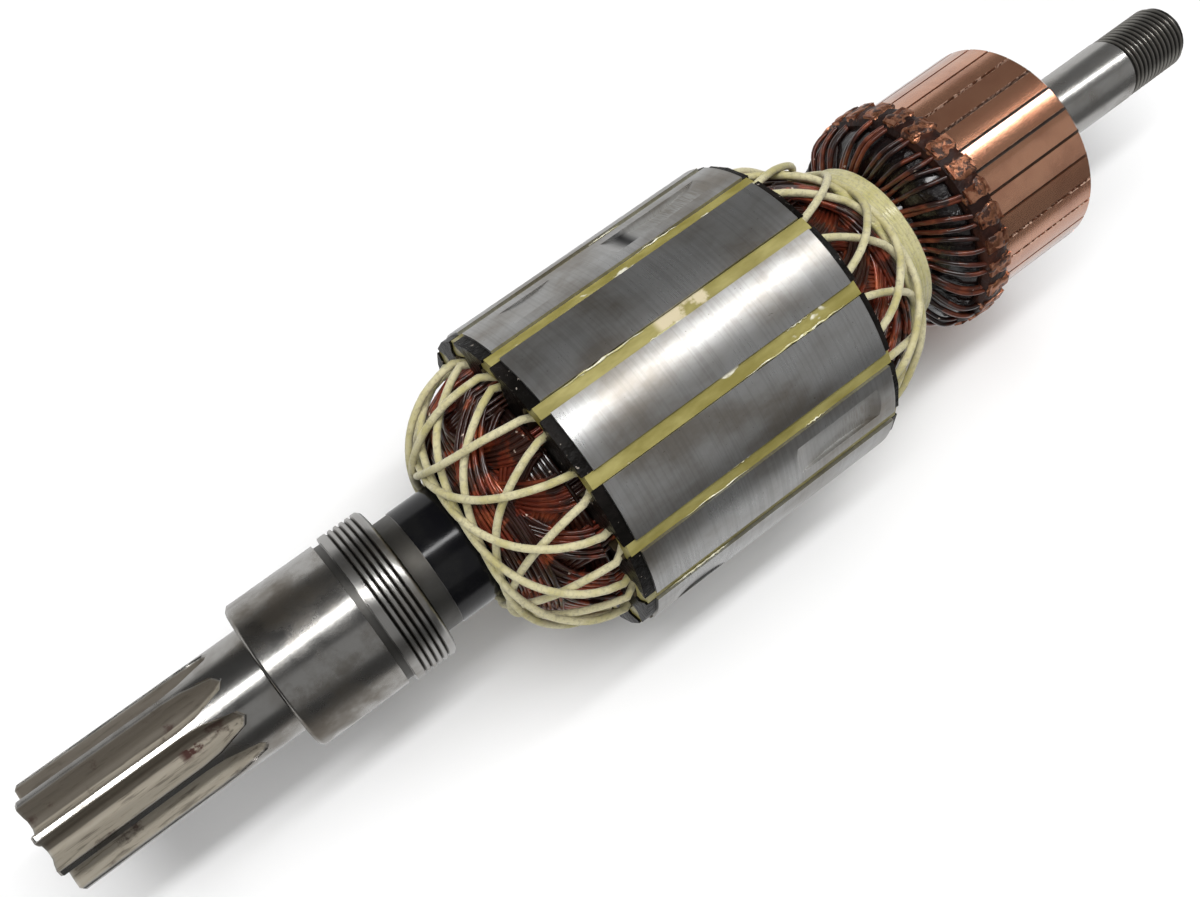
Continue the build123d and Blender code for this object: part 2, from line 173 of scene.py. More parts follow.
class Paint:
    """One procedural material, built from wrapped sockets."""

    def __init__(self, name: str) -> None:
        """Start an empty material of that name."""
        self.material = bpy.data.materials.new(name)
        self.material.use_nodes = True
        self.tree = self.material.node_tree
        self.tree.nodes.clear()
        self.output = self.tree.nodes.new("ShaderNodeOutputMaterial")
        self.coordinates = self.node("ShaderNodeTexCoord", out="Object")
        parts = self.tree.nodes.new("ShaderNodeSeparateXYZ")
        self.tree.links.new(self.coordinates.socket, parts.inputs[0])
        self.x = Shade(self, parts.outputs["X"])
        self.y = Shade(self, parts.outputs["Y"])
        self.z = Shade(self, parts.outputs["Z"])

    def node(
        self,
        kind: str,
        settings: dict[str, object] | None = None,
        inputs: dict[object, object] | None = None,
        out: object = 0,
    ) -> Shade:
        """Add a node.

        Args:
            kind: the node's type.
            settings: its settings, such as a Math node's operation.
            inputs: values or shades by socket name or number.
            out: name or number of the output to return.

        Returns:
            The wrapped output.
        """
        made = self.tree.nodes.new(kind)
        for key, value in (settings or {}).items():
            setattr(made, key, value)
        for key, value in (inputs or {}).items():
            if isinstance(value, Shade):
                self.tree.links.new(value.socket, made.inputs[key])
            else:
                made.inputs[key].default_value = value
        return Shade(self, made.outputs[out])

    def noise(self, grain: Grain) -> Shade:
        """Fractal noise on the object's coordinates.

        Args:
            grain: the pattern.

        Returns:
            A value about one half.
        """
        stretched = self.node(
            "ShaderNodeVectorMath", {"operation": "MULTIPLY"}, {0: self.coordinates, 1: grain.stretch}
        )
        return self.node(
            "ShaderNodeTexNoise",
            None,
            {"Vector": stretched, "Scale": grain.scale, "Detail": grain.detail, "Roughness": 0.6},
        )

    def step(self, value: Shade, span: Span) -> Shade:
        """Smooth step of a value.

        Args:
            value: the value.
            span: where the step starts and ends.

        Returns:
            0 below the span and 1 above it.
        """
        return self.node(
            "ShaderNodeMapRange",
            {"interpolation_type": "SMOOTHSTEP"},
            {"Value": value, "From Min": span[0], "From Max": span[1]},
        )

    def band(self, value: Shade, span: Span, soft: float) -> Shade:
        """Mask of the places where a value lies in a span.

        Args:
            value: the value.
            span: its limits.
            soft: half the width of the soft edge at each limit.

        Returns:
            1 between the limits and 0 outside.
        """
        rise = self.step(value, (span[0] - soft, span[0] + soft))
        return rise * (1.0 - self.step(value, (span[1] - soft, span[1] + soft)))

    def radius(self) -> Shade:
        """Distance from the shaft's axis."""
        return (self.y * self.y + self.z * self.z) ** 0.5

    def angle(self) -> Shade:
        """Angle round the shaft, from +Y towards +Z."""
        return self.node("ShaderNodeMath", {"operation": "ARCTAN2"}, {0: self.z, 1: self.y})

    def whole(self, value: Shade) -> Shade:
        """Largest whole number below a value."""
        return self.node("ShaderNodeMath", {"operation": "FLOOR"}, {0: value})

    def mix(self, share: object, first: object, second: object) -> Shade:
        """Colour between two.

        Args:
            share: share of the second colour.
            first: the first colour, as numbers or a shade.
            second: the second colour, as numbers or a shade.

        Returns:
            The mixed colour.
        """
        return self.node(
            "ShaderNodeMix",
            {"data_type": "RGBA"},
            {0: share, 6: self._color(first), 7: self._color(second)},
            out=2,
        )

    @staticmethod
    def _color(value: object) -> object:
        """A colour with its alpha, or the shade as it is."""
        return value if isinstance(value, Shade) else (*value, 1.0)

    def bump(self, height: Shade, distance: float, strength: float) -> Shade:
        """Normal from a height.

        Args:
            height: the height, as a share of the distance.
            distance: its reach in metres.
            strength: share of the bump that is used.

        Returns:
            The normal.
        """
        return self.node(
            "ShaderNodeBump", None, {"Height": height, "Distance": distance, "Strength": strength}
        )

    def finish(self, inputs: dict[str, object]) -> bpy.types.Material:
        """Close the material with its surface.

        Args:
            inputs: values or shades of the surface by socket name.

        Returns:
            The material.
        """
        surface = self.node("ShaderNodeBsdfPrincipled", None, inputs)
        self.tree.links.new(surface.socket, self.output.inputs["Surface"])
        return self.material


@dataclass(frozen=True)
class Places:
    """Places along the axis and radii that the finishes and pieces share, in metres."""

    pinion_end: float
    shaft_end: float
    thread_start: float
    shoulder_start: float
    shoulder_end: float
    sleeve_start: float
    core_start: float
    core_end: float
    drive_face: float
    commutator_face: float
    commutator_start: float
    commutator_end: float
    core_radius: float
    floor: float

    @staticmethod
    def read() -> "Places":
        """Measure the places on the loaded solids.

        Returns:
            The places.
        """
        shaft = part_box("shaft")
        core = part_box("core")
        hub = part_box("commutator_hub")
        sleeve_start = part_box("shaft_sleeve")[0][0]
        shoulder_start = sleeve_start - SHOULDER_BEFORE_SLEEVE
        return Places(
            pinion_end=shaft[0][0],
            shaft_end=shaft[1][0],
            thread_start=shaft[1][0] - THREAD_LENGTH,
            shoulder_start=shoulder_start,
            shoulder_end=shoulder_start + SHOULDER_LENGTH,
            sleeve_start=sleeve_start,
            core_start=core[0][0],
            core_end=core[1][0],
            drive_face=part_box("end_plate_drive")[0][0],
            commutator_face=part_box("end_plate_commutator")[1][0],
            commutator_start=hub[0][0],
            commutator_end=hub[1][0],
            core_radius=core[1][1],
            floor=core[0][2],
        )


@dataclass(frozen=True)
class ShaftSteel:
    """Turned and ground steel: bright lands, stained seat, dull tooth gaps with painted shade on one
    flank, painted shade in the grooves, the undercut and the thread's valleys, satin tail.
    """

    places: Places
    bright: Point = (0.50, 0.49, 0.47)
    tarnish: Point = (0.25, 0.22, 0.18)
    brown: Point = (0.19, 0.160, 0.125)
    dull: Point = (0.33, 0.295, 0.235)
    # Colour of the painted shade on one flank of each tooth gap.
    shaded_flank: Point = (0.085, 0.072, 0.058)
    scored: Point = (0.11, 0.095, 0.075)
    thread: Point = (0.19, 0.18, 0.155)
    grime: Point = (0.055, 0.030, 0.024)
    # Dull colour of the neck; also used as the painted shade in the undercut.
    neck: Point = (0.085, 0.082, 0.075)
    # Colour of the painted shade in the labyrinth's grooves and the thread's valleys.
    dark: Point = (0.030, 0.028, 0.026)
    rust: Point = (0.062, 0.025, 0.020)
    turning: Grain = Grain(900.0, 2.0, (9.0, 0.05, 0.05))
    scratching: Grain = Grain(700.0, 4.0, (0.25, 2.4, 2.4))
    smudging: Grain = Grain(130.0, 4.0)
    staining: Grain = Grain(75.0, 6.0, (0.7, 1.0, 1.0))
    soiling: Grain = Grain(190.0, 6.0)
    blotching: Grain = Grain(120.0, 6.0)
    rusting: Grain = Grain(420.0, 5.0)
    edge: float = 0.1 * MM
    tooth_length: float = 34.5 * MM
    tooth_edge: float = 0.6 * MM
    gap_radii: Span = (8.9 * MM, 9.35 * MM)
    groove_radii: Span = (13.22 * MM, 13.5 * MM)
    relief_radii: Span = (13.0 * MM, 13.2 * MM)
    valley_radii: Span = (5.62 * MM, 5.86 * MM)
    relief_from_shoulder: Span = (-1.5 * MM, -0.1 * MM)
    seat_from_shoulder: Span = (-17.9 * MM, -1.4 * MM)
    neck_edge: float = 0.2 * MM
    past_end: float = 1.0 * MM
    flank_phase: float = 0.75
    flank_span: Span = (0.46, 0.54)
    rust_from_pinion: Span = (22.6 * MM, 26.8 * MM)
    rust_edge: float = 0.8 * MM
    rust_angles: Span = (math.radians(117.0), math.radians(131.0))
    rust_angle_edge: float = 0.04

    def material(self) -> bpy.types.Material:
        """Build the finish.

        Returns:
            The material.
        """
        paint = Paint("shaft_turned_steel")
        at = self.places
        rings = paint.noise(self.turning)
        scratches = paint.noise(self.scratching)
        smudge = paint.noise(self.smudging)
        stain = paint.step(paint.noise(self.staining), (0.46, 0.66))
        dirt = paint.step(paint.noise(self.soiling), (0.60, 0.70))
        radius = paint.radius()
        angle = paint.angle()
        # Masks of the shaft's parts, from the pinion to the thread.
        teeth = paint.band(paint.x, (at.pinion_end, at.pinion_end + self.tooth_length), self.tooth_edge)
        gap = teeth * (1.0 - paint.step(radius, self.gap_radii))
        # Painted shade: one flank of each tooth gap is darkened, chosen by its angle round the shaft.
        turn = (angle - TOP_ANGLE) / TOOTH_ANGLE + self.flank_phase
        flank = turn - paint.whole(turn)
        shaded_flank = gap * (1.0 - paint.step(flank, self.flank_span))
        rust = self._along(paint, at.pinion_end, self.rust_from_pinion, self.rust_edge)
        rust = rust * paint.band(angle, self.rust_angles, self.rust_angle_edge)
        rust = rust * paint.step(paint.noise(self.rusting), (0.43, 0.54))
        seat = self._along(paint, at.shoulder_start, self.seat_from_shoulder, self.edge)
        blotch = seat * paint.step(paint.noise(self.blotching), (0.46, 0.62))
        # Painted shade: the undercut before the shoulder, found by radius.
        relief = self._along(paint, at.shoulder_start, self.relief_from_shoulder, self.edge)
        relief = relief * (1.0 - paint.step(radius, self.relief_radii))
        shoulder = paint.band(paint.x, (at.shoulder_start, at.shoulder_end), self.edge)
        # Painted shade: the bottoms of the labyrinth's grooves, found by radius.
        groove_shade = shoulder * (1.0 - paint.step(radius, self.groove_radii))
        neck = paint.band(paint.x, (at.shoulder_end, at.sleeve_start), self.neck_edge)
        neck = neck * (0.7 + 0.3 * smudge)
        tail = paint.band(paint.x, (at.commutator_end, at.thread_start), self.edge)
        thread = paint.band(paint.x, (at.thread_start, at.shaft_end + self.past_end), self.edge)
        # Painted shade: the thread's valleys, found by radius.
        valley_shade = thread * (1.0 - paint.step(radius, self.valley_radii))
        # Colours, each laid over the one before.
        color = paint.mix(paint.step(smudge, (0.50, 0.72)) * 0.35, self.bright, self.tarnish)
        color = paint.mix(stain * 0.7, color, self.brown)
        color = paint.mix(blotch * 0.5, color, self.brown)
        color = paint.mix(gap * (0.75 + 0.4 * scratches), color, self.dull)
        color = paint.mix(gap * paint.step(scratches, (0.53, 0.68)) * 0.7, color, self.scored)
        # Painted shade on one flank of each tooth gap.
        color = paint.mix(shaded_flank * 0.85, color, self.shaded_flank)
        color = paint.mix(rust * gap, color, self.rust)
        color = paint.mix(teeth * dirt * (0.25 + 0.6 * gap), color, self.grime)
        color = paint.mix(thread * 0.72, color, self.thread)
        # Painted shade in the thread's valleys.
        color = paint.mix(valley_shade * 0.9, color, self.dark)
        # Painted shade in the labyrinth's grooves.
        color = paint.mix(groove_shade * 0.8, color, self.dark)
        # Painted shade in the undercut, in the neck's dull colour.
        color = paint.mix(relief * 0.85, color, self.neck)
        color = paint.mix(neck, color, self.neck)
        dulled = gap * (0.3 + 0.25 * scratches) + neck * 0.3 + relief * 0.25
        dulled = dulled + thread * 0.12 + shoulder * 0.1 + tail * 0.03
        return paint.finish(
            {
                "Base Color": color,
                "Metallic": 1.0 - 0.6 * gap - 0.15 * thread - 0.1 * tail,
                "Roughness": 0.11 + 0.2 * smudge + stain * 0.1 + blotch * 0.12 + dulled,
                "Normal": paint.bump(rings * 0.25 + gap * scratches * 3.0, 0.05 * MM, 0.5),
            }
        )

    @staticmethod
    def _along(paint: Paint, start: float, span: Span, soft: float) -> Shade:
        """Mask of a length of the shaft.

        Args:
            paint: the material.
            start: the place that the length is measured from.
            span: its limits from there.
            soft: half the width of its soft edges.

        Returns:
            The mask.
        """
        return paint.band(paint.x, (start + span[0], start + span[1]), soft)


@dataclass(frozen=True)
class CoreSteel:
    """Ground laminations: satin grey with fine rings, brown stain, paler milled cuts and painted shade in
    one cut.
    """

    places: Places
    pale: Point = (0.46, 0.46, 0.455)
    stain: Point = (0.20, 0.170, 0.132)
    seam: Point = (0.17, 0.165, 0.155)
    speck: Point = (0.08, 0.06, 0.045)
    milled: Point = (0.42, 0.42, 0.41)
    # Colour of the painted shade in one balance cut.
    notch_shade: Point = (0.03, 0.03, 0.03)
    stacking: Grain = Grain(1000.0, 1.0, (2.2, 0.05, 0.05))
    grinding: Grain = Grain(900.0, 3.0, (8.0, 0.4, 0.4))
    clouding: Grain = Grain(75.0, 5.0, (0.6, 1.0, 1.0))
    pitting: Grain = Grain(1500.0, 2.0)
    cut_depths: Span = (0.9 * MM, 0.25 * MM)
    notch_along: Span = (0.6 * MM, 5.2 * MM)
    notch_edge: float = 1.2 * MM
    notch_angle: float = TOP_ANGLE - 1.5 * SLOT_ANGLE
    notch_reach: Span = (-0.14, 0.10)
    notch_angle_edge: float = 0.02

    def material(self) -> bpy.types.Material:
        """Build the finish.

        Returns:
            The material.
        """
        paint = Paint("core_ground_laminations")
        rim = self.places.core_radius
        sheets = paint.noise(self.stacking)
        hairs = paint.noise(self.grinding)
        cloud = paint.noise(self.clouding)
        specks = paint.step(paint.noise(self.pitting), (0.70, 0.76))
        inside = 1.0 - paint.step(paint.radius(), (rim - self.cut_depths[0], rim - self.cut_depths[1]))
        notch_angles = (self.notch_angle + self.notch_reach[0], self.notch_angle + self.notch_reach[1])
        # Painted shade: a short length of one balance cut is darkened.
        notch = paint.band(paint.x, self.notch_along, self.notch_edge)
        notch = notch * paint.band(paint.angle(), notch_angles, self.notch_angle_edge) * inside
        color = paint.mix(paint.step(cloud, (0.40, 0.68)) * 0.75, self.pale, self.stain)
        color = paint.mix(paint.step(sheets, (0.45, 0.62)) * 0.18, color, self.seam)
        color = paint.mix(specks * 0.5, color, self.speck)
        color = paint.mix(inside * (0.2 + 0.7 * paint.step(hairs, (0.40, 0.60))), color, self.milled)
        color = paint.mix(notch, color, self.notch_shade)
        return paint.finish(
            {
                "Base Color": color,
                "Metallic": 0.88 - 0.3 * inside,
                "Roughness": 0.20 + 0.12 * cloud + 0.06 * hairs + inside * 0.25,
                "Normal": paint.bump(sheets * 0.22 + hairs * 0.3, 0.06 * MM, 0.3),
            }
        )


@dataclass(frozen=True)
class CopperBar:
    """Turned copper bars: fine rings, each bar its own tone, painted highlights as pale dashes by some
    edges, dark risers.
    """

    places: Places
    bright: Point = (0.75, 0.375, 0.225)
    cloud: Point = (0.44, 0.17, 0.095)
    tone: Point = (0.46, 0.190, 0.112)
    glint_dash: Point = (0.80, 0.55, 0.42)
    brown: Point = (0.24, 0.085, 0.045)
    varnish: Point = (0.03, 0.016, 0.012)
    turning: Grain = Grain(1100.0, 2.0, (7.0, 0.3, 0.3))
    clouding: Grain = Grain(160.0, 4.0)
    mottling: Grain = Grain(650.0, 4.0)
    dashing: Grain = Grain(1300.0, 2.0)
    riser_edge: Span = (4.1 * MM, 4.7 * MM)
    dash_across: Span = (0.435, 0.46)
    dash_edge: float = 0.008
    tone_offset: float = 0.25

    def material(self) -> bpy.types.Material:
        """Build the finish.

        Returns:
            The material.
        """
        paint = Paint("commutator_turned_copper")
        start = self.places.commutator_start
        rings = paint.noise(self.turning)
        cloud = paint.noise(self.clouding)
        mottle = paint.noise(self.mottling)
        riser = 1.0 - paint.step(paint.x, (start + self.riser_edge[0], start + self.riser_edge[1]))
        place = (paint.angle() - TOP_ANGLE) / BAR_ANGLE + 0.5
        number = paint.whole(place)
        seed = number + self.tone_offset
        own = paint.node("ShaderNodeTexWhiteNoise", {"noise_dimensions": "1D"}, {"W": seed})
        across = paint.node("ShaderNodeMath", {"operation": "ABSOLUTE"}, {0: place - number - 0.5})
        # Painted highlights: pale glints in dashes by the edges of some bars.
        glint_dashes = paint.step(paint.noise(self.dashing), (0.48, 0.56)) * paint.step(own, (0.30, 0.40))
        glint_dashes = glint_dashes * paint.band(across, self.dash_across, self.dash_edge) * (1.0 - riser)
        color = paint.mix(paint.step(cloud, (0.40, 0.70)) * 0.45, self.bright, self.cloud)
        color = paint.mix(own * 0.5, color, self.tone)
        color = paint.mix(glint_dashes, color, self.glint_dash)
        color = paint.mix(riser * (0.35 + 0.75 * paint.step(mottle, (0.38, 0.58))), color, self.brown)
        color = paint.mix(riser * paint.step(mottle, (0.60, 0.68)), color, self.varnish)
        return paint.finish(
            {
                "Base Color": color,
                "Metallic": 0.86 - 0.66 * glint_dashes,
                "Roughness": 0.13 + 0.14 * cloud + riser * 0.15,
                "Coat Weight": 1.0 - riser,
                "Coat Roughness": 0.08,
                "Normal": paint.bump(rings + riser * mottle * 6.0, 0.06 * MM, 0.3),
            }
        )


@dataclass(frozen=True)
class FusedCopper:
    """Rough fused copper, mottled with dark varnish in its hollows."""

    copper: Point = (0.50, 0.215, 0.120)
    dark: Point = (0.040, 0.016, 0.010)
    mottling: Grain = Grain(520.0, 4.0)
    roughening: Grain = Grain(1800.0, 3.0)

    def material(self) -> bpy.types.Material:
        """Build the finish.

        Returns:
            The material.
        """
        paint = Paint("riser_fused_copper")
        mottle = paint.noise(self.mottling)
        grain = paint.noise(self.roughening)
        dark = paint.step(mottle * 0.7 + grain * 0.3, (0.44, 0.55))
        return paint.finish(
            {
                "Base Color": paint.mix(dark, self.copper, self.dark),
                "Metallic": 1.0 - 0.8 * dark,
                "Roughness": 0.26 + 0.2 * grain,
                "Normal": paint.bump(mottle + grain * 0.6, 0.3 * MM, 0.7),
            }
        )


@dataclass(frozen=True)
class DriedGlue:
    """Glossy glue, yellowed in places, its whitish colour partly painted highlight."""

    whitish_glue_and_highlight: Point = (0.78, 0.76, 0.62)
    yellow: Point = (0.50, 0.46, 0.22)
    clouding: Grain = Grain(420.0, 3.0)

    def material(self) -> bpy.types.Material:
        """Build the finish.

        Returns:
            The material.
        """
        paint = Paint("wedge_dried_glue")
        cloud = paint.noise(self.clouding)
        # Whitish colour: glue, partly painted highlight.
        color = paint.mix(paint.step(cloud, (0.40, 0.62)), self.whitish_glue_and_highlight, self.yellow)
        return paint.finish({"Base Color": color, "Roughness": 0.12 + 0.2 * cloud, "Coat Weight": 0.5})


@dataclass(frozen=True)
class EnamelWire:
    """Enamelled copper wire, with dark varnish pooled between the turns and small painted highlights as
    pale glints.
    """

    name: str
    red: Point
    amber: Point
    pool: Point
    glint: Point = (0.80, 0.66, 0.55)
    shifting: Grain = Grain(260.0, 3.0)
    pooling: Grain = Grain(170.0, 5.0)
    glint_grain: Grain = Grain(620.0, 2.0)

    def material(self) -> bpy.types.Material:
        """Build the finish.

        Returns:
            The material.
        """
        paint = Paint(self.name)
        shift = paint.noise(self.shifting)
        pool = paint.step(paint.noise(self.pooling), (0.44, 0.54))
        # Painted highlights: small pale glints on the wire.
        glint_spot = paint.step(paint.noise(self.glint_grain), (0.70, 0.74))
        color = paint.mix(paint.step(shift, (0.40, 0.68)), self.red, self.amber)
        color = paint.mix(pool * 0.95, color, self.pool)
        color = paint.mix(glint_spot * 0.75, color, self.glint)
        return paint.finish(
            {
                "Base Color": color,
                "Metallic": 0.45 - 0.4 * pool,
                "Roughness": 0.22 + 0.2 * shift,
                "Coat Weight": 0.6 + 0.4 * pool,
                "Coat Roughness": 0.07,
            }
        )


@dataclass(frozen=True)
class Lacquer:
    """Dark finish of varnish, fibre or paper, with small pale chips and dull clouds."""

    name: str
    color: Point
    cloud: Point
    chip: Point
    chips: float
    roughness: float
    grain: float = 0.12 * MM
    coat: float = 0.6
    shine: float = 0.5
    clouding: Grain = Grain(150.0, 4.0)
    chipping: Grain = Grain(900.0, 3.0)
    brushing: Grain = Grain(500.0, 4.0)

    def material(self) -> bpy.types.Material:
        """Build the finish.

        Returns:
            The material.
        """
        paint = Paint(self.name)
        haze = paint.noise(self.clouding)
        specks = paint.step(paint.noise(self.chipping), (0.70 - self.chips, 0.74 - self.chips))
        color = paint.mix(paint.step(haze, (0.42, 0.72)), self.color, self.cloud)
        color = paint.mix(specks * 0.8, color, self.chip)
        return paint.finish(
            {
                "Base Color": color,
                "Roughness": self.roughness + 0.25 * haze,
                "Specular IOR Level": self.shine,
                "Coat Weight": self.coat,
                "Coat Roughness": 0.1,
                "Normal": paint.bump(paint.noise(self.brushing), self.grain, 0.5),
            }
        )


@dataclass(frozen=True)
class CreamCord:
    """Cream cord, yellowed by varnish in places, with fine grey fibres."""

    name: str
    pale: Point
    yellow: Point
    coat: float
    grey: Point = (0.30, 0.27, 0.18)
    clouding: Grain = Grain(170.0, 3.0)
    twisting: Grain = Grain(1700.0, 4.0)

    def material(self) -> bpy.types.Material:
        """Build the finish.

        Returns:
            The material.
        """
        paint = Paint(self.name)
        cloud = paint.noise(self.clouding)
        fibre = paint.noise(self.twisting)
        color = paint.mix(paint.step(cloud, (0.40, 0.68)), self.pale, self.yellow)
        color = paint.mix(paint.step(fibre, (0.48, 0.68)) * 0.6, color, self.grey)
        return paint.finish(
            {
                "Base Color": color,
                "Roughness": 0.62 + 0.25 * fibre,
                "Sheen Weight": 0.25,
                "Coat Weight": self.coat,
                "Coat Roughness": 0.15,
                "Normal": paint.bump(fibre, 0.25 * MM, 0.7),
            }
        )


@dataclass(frozen=True)
class OliveWedge:
    """Olive yellow wedge strips under a cloudy varnish, with whitish drips of glue that are partly painted
    highlight, and one pale patch on top.
    """

    olive: Point = (0.20, 0.170, 0.036)
    pale: Point = (0.34, 0.30, 0.100)
    drip_and_highlight: Point = (0.82, 0.80, 0.68)
    patch: Point = (0.58, 0.50, 0.34)
    clouding: Grain = Grain(220.0, 4.0, (0.4, 1.0, 1.0))
    dripping: Grain = Grain(330.0, 3.0, (0.5, 1.0, 1.0))
    spilling: Grain = Grain(260.0, 4.0)
    patch_along: Span = (-4.5 * MM, 5.5 * MM)
    patch_along_edge: float = 0.7 * MM
    patch_across: Span = (-1.2 * MM, 1.2 * MM)
    patch_across_edge: float = 0.3 * MM
    patch_heights: Span = (20.0 * MM, 22.0 * MM)

    def material(self) -> bpy.types.Material:
        """Build the finish.

        Returns:
            The material.
        """
        paint = Paint("wedge_olive_strip")
        cloud = paint.noise(self.clouding)
        # Whitish drips: glue, partly painted highlight.
        drip_and_highlight = paint.step(paint.noise(self.dripping), (0.66, 0.72))
        patch = paint.band(paint.x, self.patch_along, self.patch_along_edge)
        patch = patch * paint.band(paint.y, self.patch_across, self.patch_across_edge)
        patch = patch * paint.step(paint.z, self.patch_heights)
        patch = patch * paint.step(paint.noise(self.spilling), (0.40, 0.50))
        color = paint.mix(paint.step(cloud, (0.36, 0.70)), self.olive, self.pale)
        color = paint.mix(drip_and_highlight * 0.8, color, self.drip_and_highlight)
        color = paint.mix(patch * 0.85, color, self.patch)
        return paint.finish(
            {
                "Base Color": color,
                "Roughness": 0.42 + 0.2 * cloud,
                "Coat Weight": 0.35 + 0.4 * drip_and_highlight,
                "Coat Roughness": 0.15,
                "Normal": paint.bump(cloud, 0.3 * MM, 0.5),
            }
        )


@dataclass(frozen=True)
class PaleFloor:
    """Plain pale studio floor."""

    color: Point = (0.86, 0.86, 0.86)

    def material(self) -> bpy.types.Material:
        """Build the finish."""
        return Paint("studio_pale_floor").finish({"Base Color": (*self.color, 1.0), "Roughness": 0.9})


def on_axis(x: float, radius: float, angle: float) -> Point:
    """Point at a place along the axis, a radius and an angle from +Y towards +Z."""
    return (x, radius * math.cos(angle), radius * math.sin(angle))


def select_none() -> None:
    """Deselect everything."""
    bpy.ops.object.select_all(action="DESELECT")


def select_only(piece: bpy.types.Object) -> None:
    """Select that piece alone and make it active."""
    select_none()
    piece.select_set(True)
    bpy.context.view_layer.objects.active = piece


def dress(piece: bpy.types.Object, material: bpy.types.Material) -> None:
    """Give a piece one material all over.

    Args:
        piece: the piece.
        material: its finish.
    """
    if not piece.material_slots:
        piece.data.materials.append(material)
    for slot in piece.material_slots:
        slot.material = material


def keep(piece: bpy.types.Object, slot: Slot, material: bpy.types.Material, *nodes: str) -> None:
    """Finish a new piece.

    Args:
        piece: the piece, in its place.
        slot: its slot in the record; not used.
        material: its finish.
        nodes: the solids that it stands for.
    """
    dress(piece, material)
    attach(piece, "root")
    if nodes:
        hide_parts(*nodes)
    LOG.info("%s: %d faces", piece.name, len(piece.data.polygons))


def strands(
    name: str,
    routes: list[Route],
    radius: float,
    rounding: int,
    closed: bool,
    swells: list[list[float]] | None = None,
) -> bpy.types.Object:
    """Round strands along their routes, as one mesh.

    Args:
        name: name of the piece.
        routes: points of each strand, in metres.
        radius: radius of the strand.
        rounding: steps of its round section.
        closed: whether each strand ends where it starts.
        swells: factors on the radius at each point, where it changes along the strand.

    Returns:
        The piece.
    """
    curve = bpy.data.curves.new(name, "CURVE")
    curve.dimensions = "3D"
    curve.bevel_depth = radius
    curve.bevel_resolution = rounding
    curve.use_fill_caps = True
    for number, route in enumerate(routes):
        spline = curve.splines.new("POLY")
        spline.points.add(len(route) - 1)
        for index, (point, place) in enumerate(zip(spline.points, route)):
            point.co = (*place, 1.0)
            point.radius = swells[number][index] if swells else 1.0
        spline.use_cyclic_u = closed
    piece = bpy.data.objects.new(name, curve)
    bpy.context.collection.objects.link(piece)
    select_only(piece)
    bpy.ops.object.convert(target="MESH")
    bpy.ops.object.shade_smooth()
    return piece


def turned(
    name: str, outline: list[tuple[float, float]], steps: int, rise: float = 0.0, turns: int = 1
) -> bpy.types.Object:
    """A closed outline turned about the shaft's axis.

    Args:
        name: name of the piece.
        outline: places along the axis and radii, in order round the section.
        steps: faces round one turn.
        rise: travel along the axis in one turn.
        turns: number of turns.

    Returns:
        The piece.
    """
    select_none()
    bpy.ops.mesh.primitive_circle_add(vertices=len(outline), radius=1.0 * MM)
    piece = bpy.context.object
    piece.name = name
    for vertex, (x, radius) in zip(piece.data.vertices, outline):
        vertex.co = (x, radius, 0.0)
    screw = piece.modifiers.new("turn", "SCREW")
    screw.axis = "X"
    screw.screw_offset = rise
    screw.iterations = turns
    screw.steps = steps
    screw.render_steps = steps
    screw.use_merge_vertices = rise == 0.0
    screw.merge_threshold = MERGE_DISTANCE
    select_only(piece)
    bpy.ops.object.modifier_apply(modifier=screw.name)
    bpy.ops.object.mode_set(mode="EDIT")
    bpy.ops.mesh.select_all(action="SELECT")
    bpy.ops.mesh.remove_doubles(threshold=MERGE_DISTANCE)
    if rise:
        bpy.ops.mesh.select_all(action="DESELECT")
        bpy.ops.mesh.select_non_manifold()
        bpy.ops.mesh.fill()
        bpy.ops.mesh.select_all(action="SELECT")
    bpy.ops.mesh.normals_make_consistent(inside=False)
    bpy.ops.object.mode_set(mode="OBJECT")
    bpy.ops.object.shade_smooth_by_angle(angle=TURNED_SMOOTH_ANGLE)
    return piece


def smooth_copy(name: str, node: bpy.types.Object, angle: float) -> bpy.types.Object:
    """A merged copy of a solid, shaded smooth over its small facets.

    Args:
        name: name of the new piece.
        node: the solid.
        angle: sharpest bend that is shaded smooth.

    Returns:
        The piece.
    """
    piece = bpy.data.objects.new(name, node.data.copy())
    bpy.context.collection.objects.link(piece)
    select_only(piece)
    bpy.ops.mesh.customdata_custom_splitnormals_clear()
    bpy.ops.object.mode_set(mode="EDIT")
    bpy.ops.mesh.select_all(action="SELECT")
    bpy.ops.mesh.remove_doubles(threshold=FACET_MERGE_DISTANCE)
    bpy.ops.object.mode_set(mode="OBJECT")
    bpy.ops.object.shade_smooth_by_angle(angle=angle)
    weighted = piece.modifiers.new("weighted", "WEIGHTED_NORMAL")
    weighted.keep_sharp = True
    bpy.ops.object.modifier_apply(modifier=weighted.name)
    return piece


def bowed(points: Outline, count: int) -> np.ndarray:
    """Smooth line through points.

    Args:
        points: the points, in order.
        count: samples in each span.

    Returns:
        An array of the sampled points.
    """
    spots = np.array([points[0], *points, points[-1]], dtype=float)
    samples = []
    for index in range(1, len(spots) - 2):
        before, start, end, after = spots[index - 1 : index + 3]
        for share in np.linspace(0.0, 1.0, count, endpoint=False):
            samples.append(
                0.5
                * (
                    2.0 * start
                    + (end - before) * share
                    + (2.0 * before - 5.0 * start + 4.0 * end - after) * share**2
                    + (3.0 * start - before - 3.0 * end + after) * share**3
                )
            )
    samples.append(spots[-1])
    return np.array(samples)


